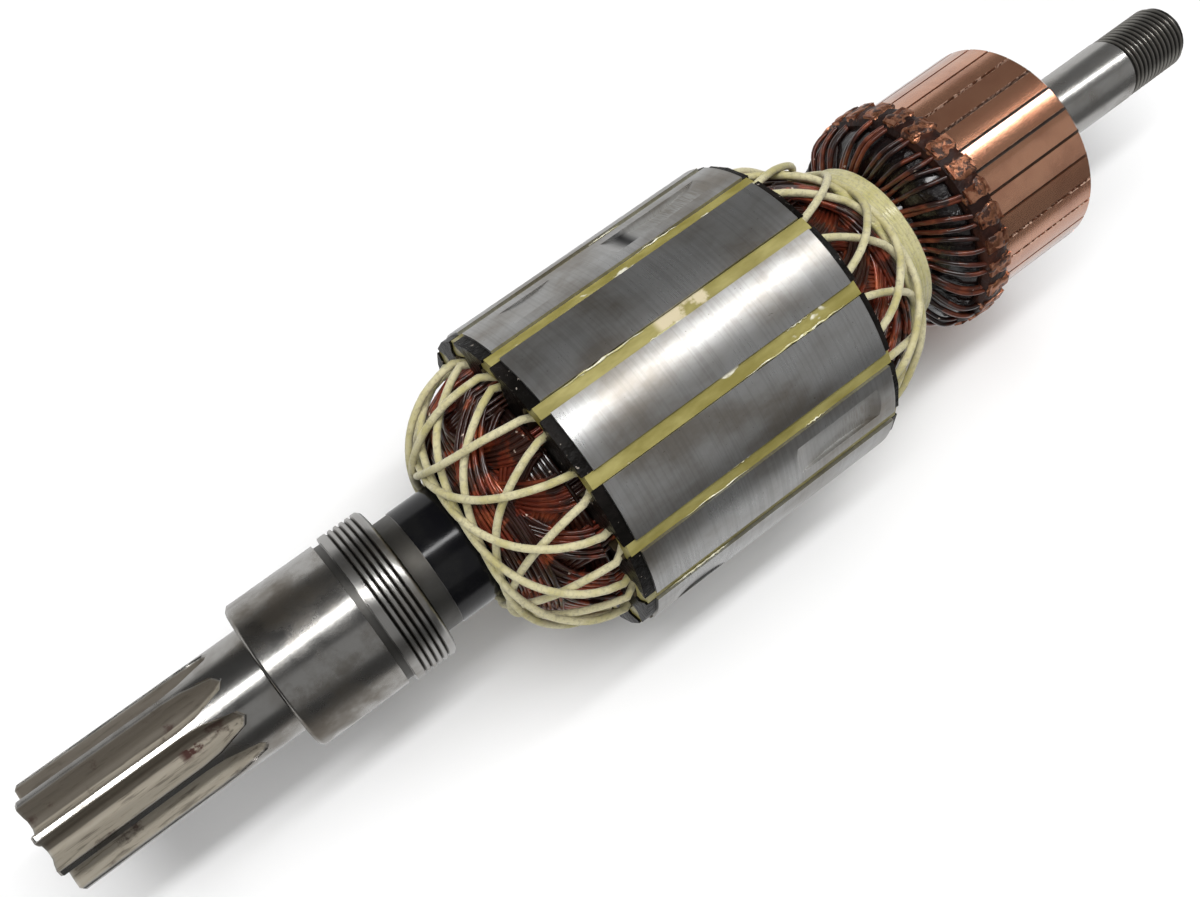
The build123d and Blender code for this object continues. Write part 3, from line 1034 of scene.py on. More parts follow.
def stretched_line(
    start: tuple[float, float], end: tuple[float, float], waist: float, count: int
) -> list[tuple[float, float]]:
    """A line pulled tight round the shaft, as seen along the axis.

    Args:
        start: radius and angle of its first point.
        end: radius and angle of its last point, at the larger angle.
        waist: radius that it may not pass inside.
        count: number of points.

    Returns:
        Radii and angles along the line.
    """
    first_lean = math.acos(min(1.0, waist / start[0]))
    last_lean = math.acos(min(1.0, waist / end[0]))
    turn = end[1] - start[1]
    if first_lean + last_lean >= turn:
        a = Vector((start[0], 0.0))
        b = Vector((end[0] * math.cos(turn), end[0] * math.sin(turn)))
        spots = [a.lerp(b, index / (count - 1)) for index in range(count)]
        return [(spot.length, start[1] + math.atan2(spot.y, spot.x)) for spot in spots]
    first_leg = start[0] * math.sin(first_lean)
    round_leg = (turn - first_lean - last_lean) * waist
    last_leg = end[0] * math.sin(last_lean)
    line = []
    for index in range(count):
        run = (first_leg + round_leg + last_leg) * index / (count - 1)
        if run < first_leg:
            left = first_leg - run
            line.append((math.hypot(waist, left), start[1] + first_lean - math.atan2(left, waist)))
        elif run < first_leg + round_leg:
            line.append((waist, start[1] + first_lean + (run - first_leg) / waist))
        else:
            past = run - first_leg - round_leg
            line.append((math.hypot(waist, past), end[1] - last_lean + math.atan2(past, waist)))
    return line


@dataclass
class WindingHead:
    """The rounded end of the winding: its outline from the core's face outward, in millimetres."""

    end: End
    face: float
    outline: Outline
    samples: int = 12
    reach: np.ndarray = field(init=False)
    radii: np.ndarray = field(init=False)
    normal_x: np.ndarray = field(init=False)
    normal_r: np.ndarray = field(init=False)

    def __post_init__(self) -> None:
        """Sample the outline and its outward normals."""
        line = bowed(self.outline, self.samples)
        tangent = np.gradient(line, axis=0)
        tangent /= np.linalg.norm(tangent, axis=1)[:, None]
        order = np.argsort(line[:, 1])
        self.reach = line[order, 0]
        self.radii = line[order, 1]
        self.normal_x = -tangent[order, 1]
        self.normal_r = tangent[order, 0]

    @property
    def label(self) -> str:
        """The end's part of a piece's name."""
        return f"{self.end.name.lower()}_end"

    def spot(self, radius: float, angle: float, lift: float) -> Point:
        """Point on the head.

        Args:
            radius: radius on its outline, in millimetres.
            angle: angle round the shaft.
            lift: height above the outline, in millimetres.

        Returns:
            The point in metres.
        """
        reach = np.interp(radius, self.radii, self.reach)
        normal_x = np.interp(radius, self.radii, self.normal_x)
        normal_r = np.interp(radius, self.radii, self.normal_r)
        x = self.face + self.end.value * (reach + lift * normal_x) * MM
        return on_axis(x, (radius + lift * normal_r) * MM, angle)


@dataclass
class Winding:
    """Fourteen coils of enamelled wire, laid two at a time from opposite sides, in millimetres."""

    drive: WindingHead
    commutator: WindingHead
    across: int = 10
    deep: int = 2
    wire_radius: float = 0.33
    wire_step: float = 0.62
    layer_depth: float = 0.6
    top_depth: float = 0.35
    pitch: int = 6
    outer_seat: float = 23.0
    inner_seat: float = 20.2
    first_waist: float = 12.4
    waist_step: float = 0.72
    waist_spread: float = 0.10
    level_depth: float = 0.62
    levels: int = 7
    mouth: float = 2.5
    samples: int = 34
    wobble_waves: Span = (1.0, 2.6)
    wobble_heights: Span = (0.03, 0.20)
    wobble_turn: float = 0.02
    coil_seed: int = 400
    buried_turns: int = 26
    buried_steps: int = 72
    buried_outer: float = 23.6
    buried_inner: float = 12.4
    buried_depth: float = 3.7
    buried_wave: float = 0.35
    buried_lobes: tuple[int, int] = (2, 5)
    buried_radius: float = 0.5
    buried_seed: int = 31
    fan_wires: int = 12
    fan_mouth: float = 3.1
    fan_turn: float = math.radians(40.0)
    fan_bend: float = 1.6
    fan_depth: float = 1.7
    fan_crossing: float = 0.55
    fan_stagger: float = 0.3
    fan_spread: float = 0.12
    fan_fall: float = 0.8
    fan_inner: float = 14.5
    fan_samples: int = 16
    fan_seed: int = 57

    def level(self, coil: int) -> int:
        """Order in which a coil was laid, 0 for the deepest."""
        return coil % self.levels

    def seat_radius(self, coil: int, other: int) -> float:
        """Radius at which a coil leaves a slot that it shares with another."""
        return self.outer_seat if self.level(coil) >= self.level(other) else self.inner_seat

    def head_route(self, head: WindingHead, coil: int, lane: int, layer: int, rng: random.Random) -> Route:
        """Route of one wire over one end.

        Args:
            head: the end of the winding.
            coil: number of the coil.
            lane: the wire's place across the bundle.
            layer: the wire's place in the bundle's depth.
            rng: source of the small unevenness.

        Returns:
            Points from the coil's first slot to its second.
        """
        start = TOP_ANGLE + coil * SLOT_ANGLE
        share = 2.0 * lane / (self.across - 1) - 1.0
        first = self.seat_radius(coil, (coil - self.pitch) % SLOT_COUNT)
        last = self.seat_radius(coil, (coil + self.pitch) % SLOT_COUNT)
        sink = self.wire_step * (lane % 2) + self.wire_step * layer
        lean = share * self.mouth / first
        waist = self.first_waist + lane * self.waist_step + rng.gauss(0.0, self.waist_spread)
        above = self.levels - 1 - self.level(coil)
        depth = above * self.level_depth + layer * self.layer_depth + self.top_depth
        line = stretched_line(
            (first - sink, start + lean),
            (last - sink, start + self.pitch * SLOT_ANGLE - lean),
            waist,
            self.samples,
        )
        phase = rng.uniform(0.0, math.tau)
        waves = rng.uniform(*self.wobble_waves)
        swell = rng.uniform(*self.wobble_heights)
        route = []
        for index, (radius, angle) in enumerate(line):
            part = index / (self.samples - 1)
            wobble = swell * math.sin(phase + waves * math.tau * part) * math.sin(math.pi * part)
            route.append(head.spot(radius, angle + wobble * self.wobble_turn, wobble - depth))
        return route

    def coil_routes(self, coil: int, rng: random.Random) -> list[Route]:
        """Closed routes of a coil's wires, over both ends and through both slots.

        Args:
            coil: number of the coil.
            rng: source of the small unevenness.

        Returns:
            One route for each turn of wire.
        """
        made = []
        for layer in range(self.deep):
            for lane in range(self.across):
                out = self.head_route(self.drive, coil, lane, layer, rng)
                back = self.head_route(self.commutator, coil, lane, layer, rng)
                made.append(out + back[::-1])
        return made

    def build_coils(self, material: bpy.types.Material) -> None:
        """Make and dress the coils.

        Args:
            material: finish of the wire.
        """
        for coil in range(SLOT_COUNT):
            routes = self.coil_routes(coil, random.Random(self.coil_seed + coil))
            name = f"coil_wires_{coil + 1:02d}"
            piece = strands(name, routes, self.wire_radius * MM, rounding=1, closed=True)
            keep(piece, Slot.COIL, material, f"coil_{coil + 1:02d}")

    def fan_route(self, head: WindingHead, slot: int, way: float, lane: int, rng: random.Random) -> Route:
        """Route of one wire of the fan that leaves a slot under the outer coils.

        Args:
            head: the end of the winding.
            slot: number of the slot.
            way: 1 or -1, the way the fan turns.
            lane: the wire's place in the fan.
            rng: source of the small unevenness.

        Returns:
            Points from the slot's mouth inward.
        """
        share = 2.0 * lane / (self.fan_wires - 1) - 1.0
        start = TOP_ANGLE + slot * SLOT_ANGLE + share * self.fan_mouth / self.buried_outer
        depth = self.fan_depth + self.fan_crossing * (way > 0) + self.fan_stagger * (lane % 2)
        depth += rng.uniform(-self.fan_spread, self.fan_spread)
        route = []
        for part in np.linspace(0.0, 1.0, self.fan_samples):
            radius = self.buried_outer + (self.fan_inner - self.buried_outer) * part
            angle = start + way * self.fan_turn * part**self.fan_bend
            route.append(head.spot(float(radius), angle, -depth - self.fan_fall * part))
        return route

    def build_fans(self, material: bpy.types.Material) -> None:
        """Make and dress the fans of wire that show between the outer coils.

        Args:
            material: finish of the wire.
        """
        for head in (self.drive, self.commutator):
            rng = random.Random(self.fan_seed)
            routes = [
                self.fan_route(head, slot, way, lane, rng)
                for slot in range(SLOT_COUNT)
                for way in (1.0, -1.0)
                for lane in range(self.fan_wires)
            ]
            name = f"coil_fans_{head.label}"
            piece = strands(name, routes, self.wire_radius * MM, rounding=1, closed=False)
            keep(piece, Slot.COIL, material)

    def build_buried(self, material: bpy.types.Material) -> None:
        """Make and dress the turns that lie buried under both heads, dark with the painted shade of their
        finish.

        Args:
            material: finish of the wire.
        """
        for head in (self.drive, self.commutator):
            rng = random.Random(self.buried_seed)
            routes = []
            for radius in np.linspace(self.buried_outer, self.buried_inner, self.buried_turns):
                wave = rng.uniform(0.0, math.tau)
                lobes = rng.randint(*self.buried_lobes)
                route = []
                for step in range(self.buried_steps):
                    angle = step * math.tau / self.buried_steps
                    sink = self.buried_depth + self.buried_wave * math.sin(wave + lobes * angle)
                    route.append(head.spot(float(radius), angle, -sink))
                routes.append(route)
            name = f"buried_turns_{head.label}"
            piece = strands(name, routes, self.buried_radius * MM, rounding=1, closed=True)
            keep(piece, Slot.COIL, material)


@dataclass
class Lacing:
    """Cord stretched over a winding head from slot to slot, every fifth slot in turn, in millimetres."""

    head: WindingHead
    waist: float
    pitch: int = 5
    cord_radius: float = 0.63
    side_angle: float = math.radians(5.0)
    side_spread: float = 0.012
    foot_radius: float = 23.9
    bed_radius: float = 22.6
    bed_depth: float = 2.6
    bed_turn: float = 0.35
    dive_shares: Point = (0.0, 0.5, 0.85)
    low: float = 0.57
    high: float = 1.8
    climb: float = 14.0
    fall_start: float = 0.9
    samples: int = 40
    seed: int = 900

    def route(self) -> Route:
        """The whole cord in one round, fourteen stretches.

        Returns:
            Its points.
        """
        points = []
        for turn in range(SLOT_COUNT):
            start = TOP_ANGLE + turn * self.pitch * SLOT_ANGLE
            end = start + self.pitch * SLOT_ANGLE
            rng = random.Random(self.seed + turn)
            first = start + self.side_angle + rng.gauss(0.0, self.side_spread)
            last = end - self.side_angle + rng.gauss(0.0, self.side_spread)
            line = stretched_line(
                (self.foot_radius, first), (self.foot_radius, last), self.waist, self.samples
            )
            points += self.dive(start, first)
            for index, (radius, angle) in enumerate(line):
                points.append(self.head.spot(radius, angle, self.lift(index / (self.samples - 1))))
            points += self.dive(end, last)[::-1]
        return points

    def lift(self, part: float) -> float:
        """Height of the cord over the head: low on its first half, then over the other cords.

        Args:
            part: share of the stretch that is passed.

        Returns:
            The height.
        """
        rise = 1.0 / (1.0 + math.exp(-self.climb * (part - 0.5)))
        fall = max(0.0, (part - self.fall_start) / (1.0 - self.fall_start))
        return self.low + (self.high - self.low) * rise * (1.0 - fall * fall)

    def dive(self, slot: float, edge: float) -> Route:
        """Points from inside a slot out to the edge of its mouth.

        Args:
            slot: angle of the slot's middle.
            edge: angle at which the cord comes out.

        Returns:
            The points, from inside.
        """
        points = []
        for share in self.dive_shares:
            reach = (share - 1.0) * self.bed_depth
            radius = self.bed_radius + (self.foot_radius - self.bed_radius) * share
            angle = slot + (edge - slot) * (self.bed_turn + (1.0 - self.bed_turn) * share)
            points.append(on_axis(self.head.face + self.head.end.value * reach * MM, radius * MM, angle))
        return points

    def build(self, material: bpy.types.Material) -> None:
        """Make and dress the cord.

        Args:
            material: finish of the cord.
        """
        name = f"lacing_cord_{self.head.label}"
        piece = strands(name, [self.route()], self.cord_radius * MM, rounding=3, closed=True)
        keep(piece, Slot.CORD, material, f"lacing_{self.head.label}")


@dataclass
class BindingBand:
    """Cord wound round the leads in two layers of close turns that climb the winding's cone."""

    face: float
    outline: Outline = (
        (13.4, 17.5), (14.8, 16.7), (16.2, 15.7), (17.6, 15.0), (19.0, 14.8), (20.2, 14.9)
    )
    layers: tuple[Span, ...] = ((-1.1, 0.4), (0.0, 2.1))
    cord_radius: float = 0.47
    turns: int = 15
    steps: int = 64
    samples: int = 16
    uneven: float = 0.05
    tuck_turn: float = 0.25
    tuck_depth: float = 1.3
    seed: int = 77

    def route(self, height: float, phase: float) -> Route:
        """Turns of cord along the outline.

        Args:
            height: height of the layer over the outline, in millimetres.
            phase: angle at which its first turn starts.

        Returns:
            The points.
        """
        line = bowed(self.outline, self.samples)
        run = np.concatenate([[0.0], np.cumsum(np.linalg.norm(np.diff(line, axis=0), axis=1))])
        rng = random.Random(self.seed)
        leans = [rng.gauss(0.0, self.uneven) for _ in range(self.turns + 2)]
        points = []
        for index in range(self.turns * self.steps + 1):
            share = index / (self.turns * self.steps)
            reach = np.interp(share * run[-1], run, line[:, 0])
            radius = np.interp(share * run[-1], run, line[:, 1])
            turn = index / self.steps
            lean = np.interp(turn, range(self.turns + 2), leans)
            tuck = max(0.0, 1.0 - min(turn, self.turns - turn) / self.tuck_turn) ** 2
            over = radius + height + lean - tuck * self.tuck_depth
            points.append(on_axis(self.face + (reach + lean) * MM, over * MM, phase + turn * math.tau))
        return points

    def build(self, material: bpy.types.Material) -> None:
        """Make and dress the band.

        Args:
            material: finish of the cord.
        """
        routes = [self.route(height, phase) for height, phase in self.layers]
        piece = strands("binding_cord_band", routes, self.cord_radius * MM, rounding=3, closed=False)
        keep(piece, Slot.CORD, material, "binding_band")


@dataclass
class Leads:
    """Pairs of varnished wire ends that flare from the band to the riser of each bar, in millimetres."""

    face: float
    outline: Outline = (
        (19.5, 13.0), (21.3, 14.1), (22.3, 16.4), (23.8, 18.6), (25.7, 19.7), (28.0, 20.1), (30.0, 19.9)
    )
    samples: int = 7
    wire_radius: float = 0.43
    spread: float = math.radians(2.5)
    closing: float = 0.55
    slant: float = math.radians(15.0)
    slant_bend: float = 1.5
    sway_spread: float = 0.045
    heights: Span = (-0.9, 0.3)
    pair_step: float = 0.2
    seed: int = 60

    def build(self, material: bpy.types.Material) -> None:
        """Make and dress the leads.

        Args:
            material: finish of the wire.
        """
        routes = []
        line = bowed(self.outline, self.samples)
        for bar in range(BAR_COUNT):
            rng = random.Random(self.seed + bar)
            for side in (-1.0, 1.0):
                end = TOP_ANGLE + bar * BAR_ANGLE
                sway = rng.gauss(0.0, self.sway_spread)
                high = rng.uniform(*self.heights) + self.pair_step * side
                route = []
                for index, (reach, radius) in enumerate(line):
                    share = index / (len(line) - 1)
                    bow = math.sin(math.pi * share)
                    apart = side * self.spread * (1.0 - self.closing * share)
                    angle = end - self.slant * (1.0 - share) ** self.slant_bend + apart + sway * bow
                    route.append(on_axis(self.face + reach * MM, (radius + high * bow) * MM, angle))
                routes.append(route)
        piece = strands("commutator_lead_wires", routes, self.wire_radius * MM, rounding=2, closed=False)
        keep(piece, Slot.LEAD, material, "commutator_leads")


@dataclass
class VarnishRing:
    """Dark varnish turned about the shaft: its outline from a place on the axis, in millimetres."""

    name: str
    start: float
    outline: Outline
    steps: int = 84

    def build(self, material: bpy.types.Material) -> None:
        """Make and dress the ring."""
        outline = [(self.start + x * MM, radius * MM) for x, radius in self.outline]
        keep(turned(self.name, outline, self.steps), Slot.LEAD, material)


@dataclass
class FusedRisers:
    """Rounded lumps of copper where each pair of leads is fused into its riser, in millimetres."""

    start: float
    middle: float = 2.2
    half_length: float = 2.35
    half_width: float = 1.95
    half_height: float = 1.0
    radius: float = 20.2
    rounding: float = 0.7
    rounding_steps: int = 4
    finer_levels: int = 2
    uneven: float = 0.05
    wave_count: int = 6
    wave_rates: Span = (2.5, 7.0)
    swells: Span = (0.95, 1.06)
    seed: int = 210

    def lump(self, bar: int) -> bpy.types.Object:
        """One lump at its bar.

        Args:
            bar: number of the bar.

        Returns:
            The lump.
        """
        rng = random.Random(self.seed + bar)
        select_none()
        bpy.ops.mesh.primitive_cube_add(size=2.0)
        piece = bpy.context.object
        rounded = piece.modifiers.new("rounded", "BEVEL")
        rounded.width = self.rounding
        rounded.segments = self.rounding_steps
        bpy.ops.object.modifier_apply(modifier=rounded.name)
        finer = piece.modifiers.new("finer", "SUBSURF")
        finer.levels = self.finer_levels
        finer.render_levels = self.finer_levels
        bpy.ops.object.modifier_apply(modifier=finer.name)
        turn = TOP_ANGLE + bar * BAR_ANGLE
        waves = [
            (rng.uniform(*self.wave_rates), rng.uniform(0.0, math.tau)) for _ in range(self.wave_count)
        ]
        swell = rng.uniform(*self.swells)
        for vertex in piece.data.vertices:
            place = vertex.co.copy()
            sides = (place.x, place.y, place.z, place.x - place.y, place.y + place.z, place.x + place.z)
            bump = sum(math.sin(rate * value + phase) for (rate, phase), value in zip(waves, sides))
            place = place * (swell + self.uneven * bump)
            x = self.start + (self.middle + place.x * self.half_length) * MM
            radius = (self.radius + place.z * self.half_height) * MM
            vertex.co = on_axis(x, radius, turn + place.y * self.half_width / self.radius)
        return piece

    def build(self, material: bpy.types.Material) -> None:
        """Make and dress the lumps.

        Args:
            material: their finish.
        """
        lumps = [self.lump(bar) for bar in range(BAR_COUNT)]
        select_none()
        for lump in lumps:
            lump.select_set(True)
        bpy.context.view_layer.objects.active = lumps[0]
        bpy.ops.object.join()
        piece = bpy.context.object
        piece.name = "fused_riser_joints"
        bpy.ops.object.mode_set(mode="EDIT")
        bpy.ops.mesh.select_all(action="SELECT")
        bpy.ops.mesh.normals_make_consistent(inside=False)
        bpy.ops.object.mode_set(mode="OBJECT")
        bpy.ops.object.shade_smooth()
        keep(piece, Slot.BAR, material)


@dataclass
class GlueDrips:
    """Beads of dried glue along the edges of the wedges, in millimetres."""

    places: Places
    radius: float = 27.93
    side: float = 1.0
    bead_sides: Point = (-1.0, 1.0, 1.0)
    thickness: float = 0.24
    end_room: float = 2.0
    lengths: Span = (4.0, 15.0)
    sizes: Span = (0.45, 1.0)
    waves: Span = (2.0, 5.0)
    stray: float = 0.10
    tip: float = 0.06
    body: float = 0.7
    lump: float = 0.3
    lump_rate: float = 9.0
    steps: int = 18
    seed: int = 520

    def build(self, material: bpy.types.Material) -> None:
        """Make and dress the beads.

        Args:
            material: finish of the glue.
        """
        routes = []
        swells = []
        start = self.places.core_start / MM + self.end_room
        length = (self.places.core_end - self.places.core_start) / MM - 2.0 * self.end_room
        for slot in range(SLOT_COUNT):
            rng = random.Random(self.seed + slot)
            middle = TOP_ANGLE + slot * SLOT_ANGLE
            for side in self.bead_sides:
                run = rng.uniform(*self.lengths)
                first = start + rng.uniform(0.0, length - run)
                size = rng.uniform(*self.sizes)
                waves = rng.uniform(*self.waves)
                route = []
                swell = []
                for step in range(self.steps + 1):
                    part = step / self.steps
                    beside = side * self.side + self.stray * math.sin(waves * math.tau * part)
                    angle = middle + beside / self.radius
                    route.append(on_axis((first + run * part) * MM, self.radius * MM, angle))
                    full = self.body + self.lump * math.sin(waves * self.lump_rate * part)
                    swell.append(size * (self.tip + math.sin(math.pi * part) * full))
                routes.append(route)
                swells.append(swell)
        radius = self.thickness * MM
        piece = strands("wedge_glue_beads", routes, radius, rounding=2, closed=False, swells=swells)
        keep(piece, Slot.WEDGE, material)


@dataclass
class TailThread:
    """Fine thread on the end of the tail, in millimetres."""

    shaft_end: float
    length: float = 12.4
    start: float = 14.2
    core_radius: float = 5.35
    crest_radius: float = 5.93
    pitch: float = 1.0
    crest: Span = (0.42, 0.58)
    root_end: float = 0.999
    steps: int = 48

    def build(self, material: bpy.types.Material) -> None:
        """Make and dress the thread.

        Args:
            material: its finish.
        """
        x = self.shaft_end - self.start * MM
        ridge = (
            (0.0, self.core_radius),
            (self.crest[0], self.crest_radius),
            (self.crest[1], self.crest_radius),
            (self.root_end, self.core_radius),
        )
        outline = [(x + share * self.pitch * MM, radius * MM) for share, radius in ridge]
        turns = int(self.length / self.pitch)
        keep(turned("tail_thread", outline, self.steps, self.pitch * MM, turns), Slot.SHAFT, material)


@dataclass(frozen=True)
class SoftBox:
    """One soft light: its size along and across the shaft, its power, and whether the metal mirrors it."""

    name: str
    size: tuple[float, float]
    power: float
    mirrored: bool


@dataclass
class Studio:
    """Pale floor, soft lights and the camera at the photograph's angle."""

    places: Places
    lens_pixels: float = 1243.3
    frame_width: float = 1200.0
    frame_height: float = 897.0
    optical_x: float = 526.5
    optical_y: float = 493.8
    roll: float = math.radians(35.95)
    yaw: float = math.radians(10.97)
    height_angle: float = math.radians(72.6)
    core_radii_away: float = 7.16
    core_radii_ahead: float = 1.0171
    sensor_width: float = 36.0
    clip_start: float = 0.01
    key_box: SoftBox = SoftBox("key_soft_box", (1.4, 0.075), 4.3, True)
    key_lean: float = math.radians(18.0)
    key_distance: float = 0.75
    low_box: SoftBox = SoftBox("low_soft_box", (1.6, 0.75), 0.9, True)
    low_distances: tuple[float, float] = (0.75, 0.5)
    fill_box: SoftBox = SoftBox("fill_soft_box", (1.1, 1.1), 9.0, False)
    fill_distances: tuple[float, float] = (0.9, -0.4)
    end_box: SoftBox = SoftBox("end_soft_box", (0.4, 0.3), 2.0, False)
    end_place: Point = (-0.75, -0.35, 0.45)
    toward_tail: float = 0.25
    ground_light: float = 0.7
    room_light: float = 0.06
    horizon: Span = (-0.16, -0.02)
    floor_size: float = 12.0

    def core_axes(self) -> tuple[Vector, Vector]:
        """Directions from the core: towards the viewer, and across the shaft, downward in the picture."""
        facing = Vector((0.0, -math.cos(self.height_angle), math.sin(self.height_angle)))
        return facing, ALONG_SHAFT.cross(facing)

    def view_axes(self) -> tuple[Vector, Vector, Vector]:
        """Directions of the view.

        Returns:
            Right and down in the picture, and forward into it.
        """
        facing, below = self.core_axes()
        forward = math.sin(self.yaw) * ALONG_SHAFT - math.cos(self.yaw) * facing
        right = math.cos(self.yaw) * ALONG_SHAFT + math.sin(self.yaw) * facing
        picture_right = math.cos(self.roll) * right + math.sin(self.roll) * below
        picture_down = -math.sin(self.roll) * right + math.cos(self.roll) * below
        return picture_right, picture_down, forward

    def build_camera(self) -> None:
        """Make the camera."""
        right, down, forward = self.view_axes()
        data = bpy.data.cameras.new("photo_camera")
        data.sensor_width = self.sensor_width
        data.lens = self.lens_pixels / self.frame_width * data.sensor_width
        data.shift_x = (self.frame_width / 2.0 - self.optical_x) / self.frame_width
        data.shift_y = (self.optical_y - self.frame_height / 2.0) / self.frame_width
        data.clip_start = self.clip_start
        radius = self.places.core_radius
        aim = (self.places.core_start + self.places.core_end) / 2.0 - self.core_radii_ahead * radius
        place = ALONG_SHAFT * aim - forward * self.core_radii_away * radius
        camera = bpy.data.objects.new("photo_camera", data)
        turn = Matrix((right, -down, -forward)).transposed().to_4x4()
        camera.matrix_world = Matrix.Translation(place) @ turn
        bpy.context.collection.objects.link(camera)
        bpy.context.scene.camera = camera

    @staticmethod
    def hang(box: SoftBox, target: Vector, offset: Vector) -> None:
        """Hang one soft light, its length as near to the shaft's way as it can be.

        Args:
            box: the light.
            target: the point that it faces.
            offset: where it hangs from there.
        """
        data = bpy.data.lights.new(box.name, "AREA")
        data.shape = "RECTANGLE"
        data.size, data.size_y = box.size
        data.energy = box.power
        light = bpy.data.objects.new(box.name, data)
        light.visible_glossy = box.mirrored
        back = offset.normalized()
        across = (ALONG_SHAFT - back * ALONG_SHAFT.dot(back)).normalized()
        turn = Matrix((across, back.cross(across), back)).transposed().to_4x4()
        light.matrix_world = Matrix.Translation(target + offset) @ turn
        bpy.context.collection.objects.link(light)

    def build_lights(self) -> None:
        """Hang the four lights."""
        facing, below = self.core_axes()
        middle = Vector((0.0, 0.0, 0.0))
        tailward = ALONG_SHAFT * self.toward_tail
        key = (facing * math.cos(self.key_lean) - below * math.sin(self.key_lean)) * self.key_distance
        self.hang(self.key_box, tailward, key)
        self.hang(self.low_box, tailward, facing * self.low_distances[0] + below * self.low_distances[1])
        self.hang(self.fill_box, middle, facing * self.fill_distances[0] + below * self.fill_distances[1])
        self.hang(self.end_box, middle, Vector(self.end_place))

    def build_sky(self) -> None:
        """Make the surroundings that the metal mirrors: a dark room over pale ground."""
        facing, _ = self.core_axes()
        world = bpy.data.worlds.new("studio_sky")
        bpy.context.scene.world = world
        world.use_nodes = True
        nodes = world.node_tree.nodes
        links = world.node_tree.links
        ways = nodes.new("ShaderNodeTexCoord")
        rise = nodes.new("ShaderNodeVectorMath")
        rise.operation = "DOT_PRODUCT"
        rise.inputs[1].default_value = facing
        shade = nodes.new("ShaderNodeMapRange")
        shade.interpolation_type = "SMOOTHSTEP"
        shade.inputs["From Min"].default_value = self.horizon[0]
        shade.inputs["From Max"].default_value = self.horizon[1]
        shade.inputs["To Min"].default_value = self.ground_light
        shade.inputs["To Max"].default_value = self.room_light
        links.new(ways.outputs["Generated"], rise.inputs[0])
        links.new(rise.outputs["Value"], shade.inputs["Value"])
        links.new(shade.outputs["Result"], nodes["Background"].inputs["Strength"])
        nodes["Background"].inputs["Color"].default_value = (1.0, 1.0, 1.0, 1.0)

    def build_floor(self, material: bpy.types.Material) -> None:
        """Make the floor under the core, which the metal doesn't mirror.

        Args:
            material: its finish.
        """
        select_none()
        bpy.ops.mesh.primitive_plane_add(size=self.floor_size, location=(0.0, 0.0, 0.0))
        floor = bpy.context.object
        floor.name = "studio_floor"
        for vertex in floor.data.vertices:
            vertex.co.z = self.places.floor
        floor.visible_glossy = False
        dress(floor, material)

    def build(self, floor_material: bpy.types.Material) -> None:
        """Make the camera, the lights, the sky and the floor.

        Args:
            floor_material: finish of the floor.
        """
        self.build_camera()
        self.build_lights()
        self.build_sky()
        self.build_floor(floor_material)
        bpy.context.scene.view_settings.view_transform = "Standard"


DRIVE_OUTLINE: Outline = (
    (0.6, 24.0), (2.6, 23.3), (5.3, 21.9), (7.6, 20.5), (9.8, 18.8),
    (11.5, 17.0), (12.9, 15.0), (13.9, 13.2), (14.4, 12.0),
)
COMMUTATOR_OUTLINE: Outline = (
    (0.6, 24.2), (3.5, 23.1), (6.8, 21.6), (9.8, 20.0), (11.8, 18.8),
    (13.4, 17.2), (14.4, 15.2), (15.0, 13.2), (15.2, 12.0),
)
RISER_VARNISH_OUTLINE: Outline = (
    (-0.5, 18.6), (-0.7, 19.6), (-0.2, 20.5), (1.0, 20.95),
    (3.2, 20.95), (4.1, 20.5), (4.5, 19.5), (4.5, 18.6),
)
LEAD_VARNISH_OUTLINE: Outline = (
    (20.2, 12.3), (22.2, 13.2), (23.4, 15.8), (24.7, 17.8), (26.3, 18.7), (28.2, 19.0),
    (28.2, 18.2), (26.3, 17.8), (24.9, 16.8), (23.9, 15.0), (22.8, 12.4), (20.4, 11.8),
)
DRIVE_LACING_WAIST = 12.2
COMMUTATOR_LACING_WAIST = 16.2

SLEEVE = Lacquer(
    name="sleeve_gloss_black",
    color=(0.003, 0.003, 0.004),
    cloud=(0.007, 0.007, 0.007),
    chip=(0.10, 0.09, 0.08),
    chips=-0.05,
    roughness=0.05,
    grain=0.03 * MM,
    coat=0.1,
    shine=0.3,
)
PLATE = Lacquer(
    name="plate_black_fibre",
    color=(0.004, 0.0035, 0.003),
    cloud=(0.012, 0.010, 0.009),
    chip=(0.34, 0.30, 0.26),
    chips=0.03,
    roughness=0.22,
    grain=0.8 * MM,
    coat=0.0,
    shine=0.08,
)
LINER = Lacquer(
    name="liner_paper",
    color=(0.060, 0.045, 0.022),
    cloud=(0.025, 0.017, 0.010),
    chip=(0.30, 0.26, 0.16),
    chips=0.0,
    roughness=0.5,
)
HUB = Lacquer(
    name="hub_dark_moulding",
    color=(0.014, 0.010, 0.008),
    cloud=(0.04, 0.026, 0.018),
    chip=(0.2, 0.12, 0.08),
    chips=0.0,
    roughness=0.35,
)
RISER_VARNISH = Lacquer(
    name="riser_dark_varnish",
    color=(0.012, 0.005, 0.004),
    cloud=(0.05, 0.016, 0.009),
    chip=(0.3, 0.12, 0.06),
    chips=0.0,
    roughness=0.3,
    grain=0.8 * MM,
    coat=0.0,
    shine=0.2,
)
LEAD_VARNISH = Lacquer(
    name="lead_varnish_pools",
    color=(0.005, 0.003, 0.003),
    cloud=(0.012, 0.005, 0.004),
    chip=(0.12, 0.05, 0.03),
    chips=-0.05,
    roughness=0.03,
    grain=1.6 * MM,
    coat=0.8,
)
COIL_WIRE = EnamelWire(
    name="coil_enamelled_wire",
    red=(0.21, 0.034, 0.015),
    amber=(0.42, 0.105, 0.040),
    pool=(0.012, 0.004, 0.003),
)
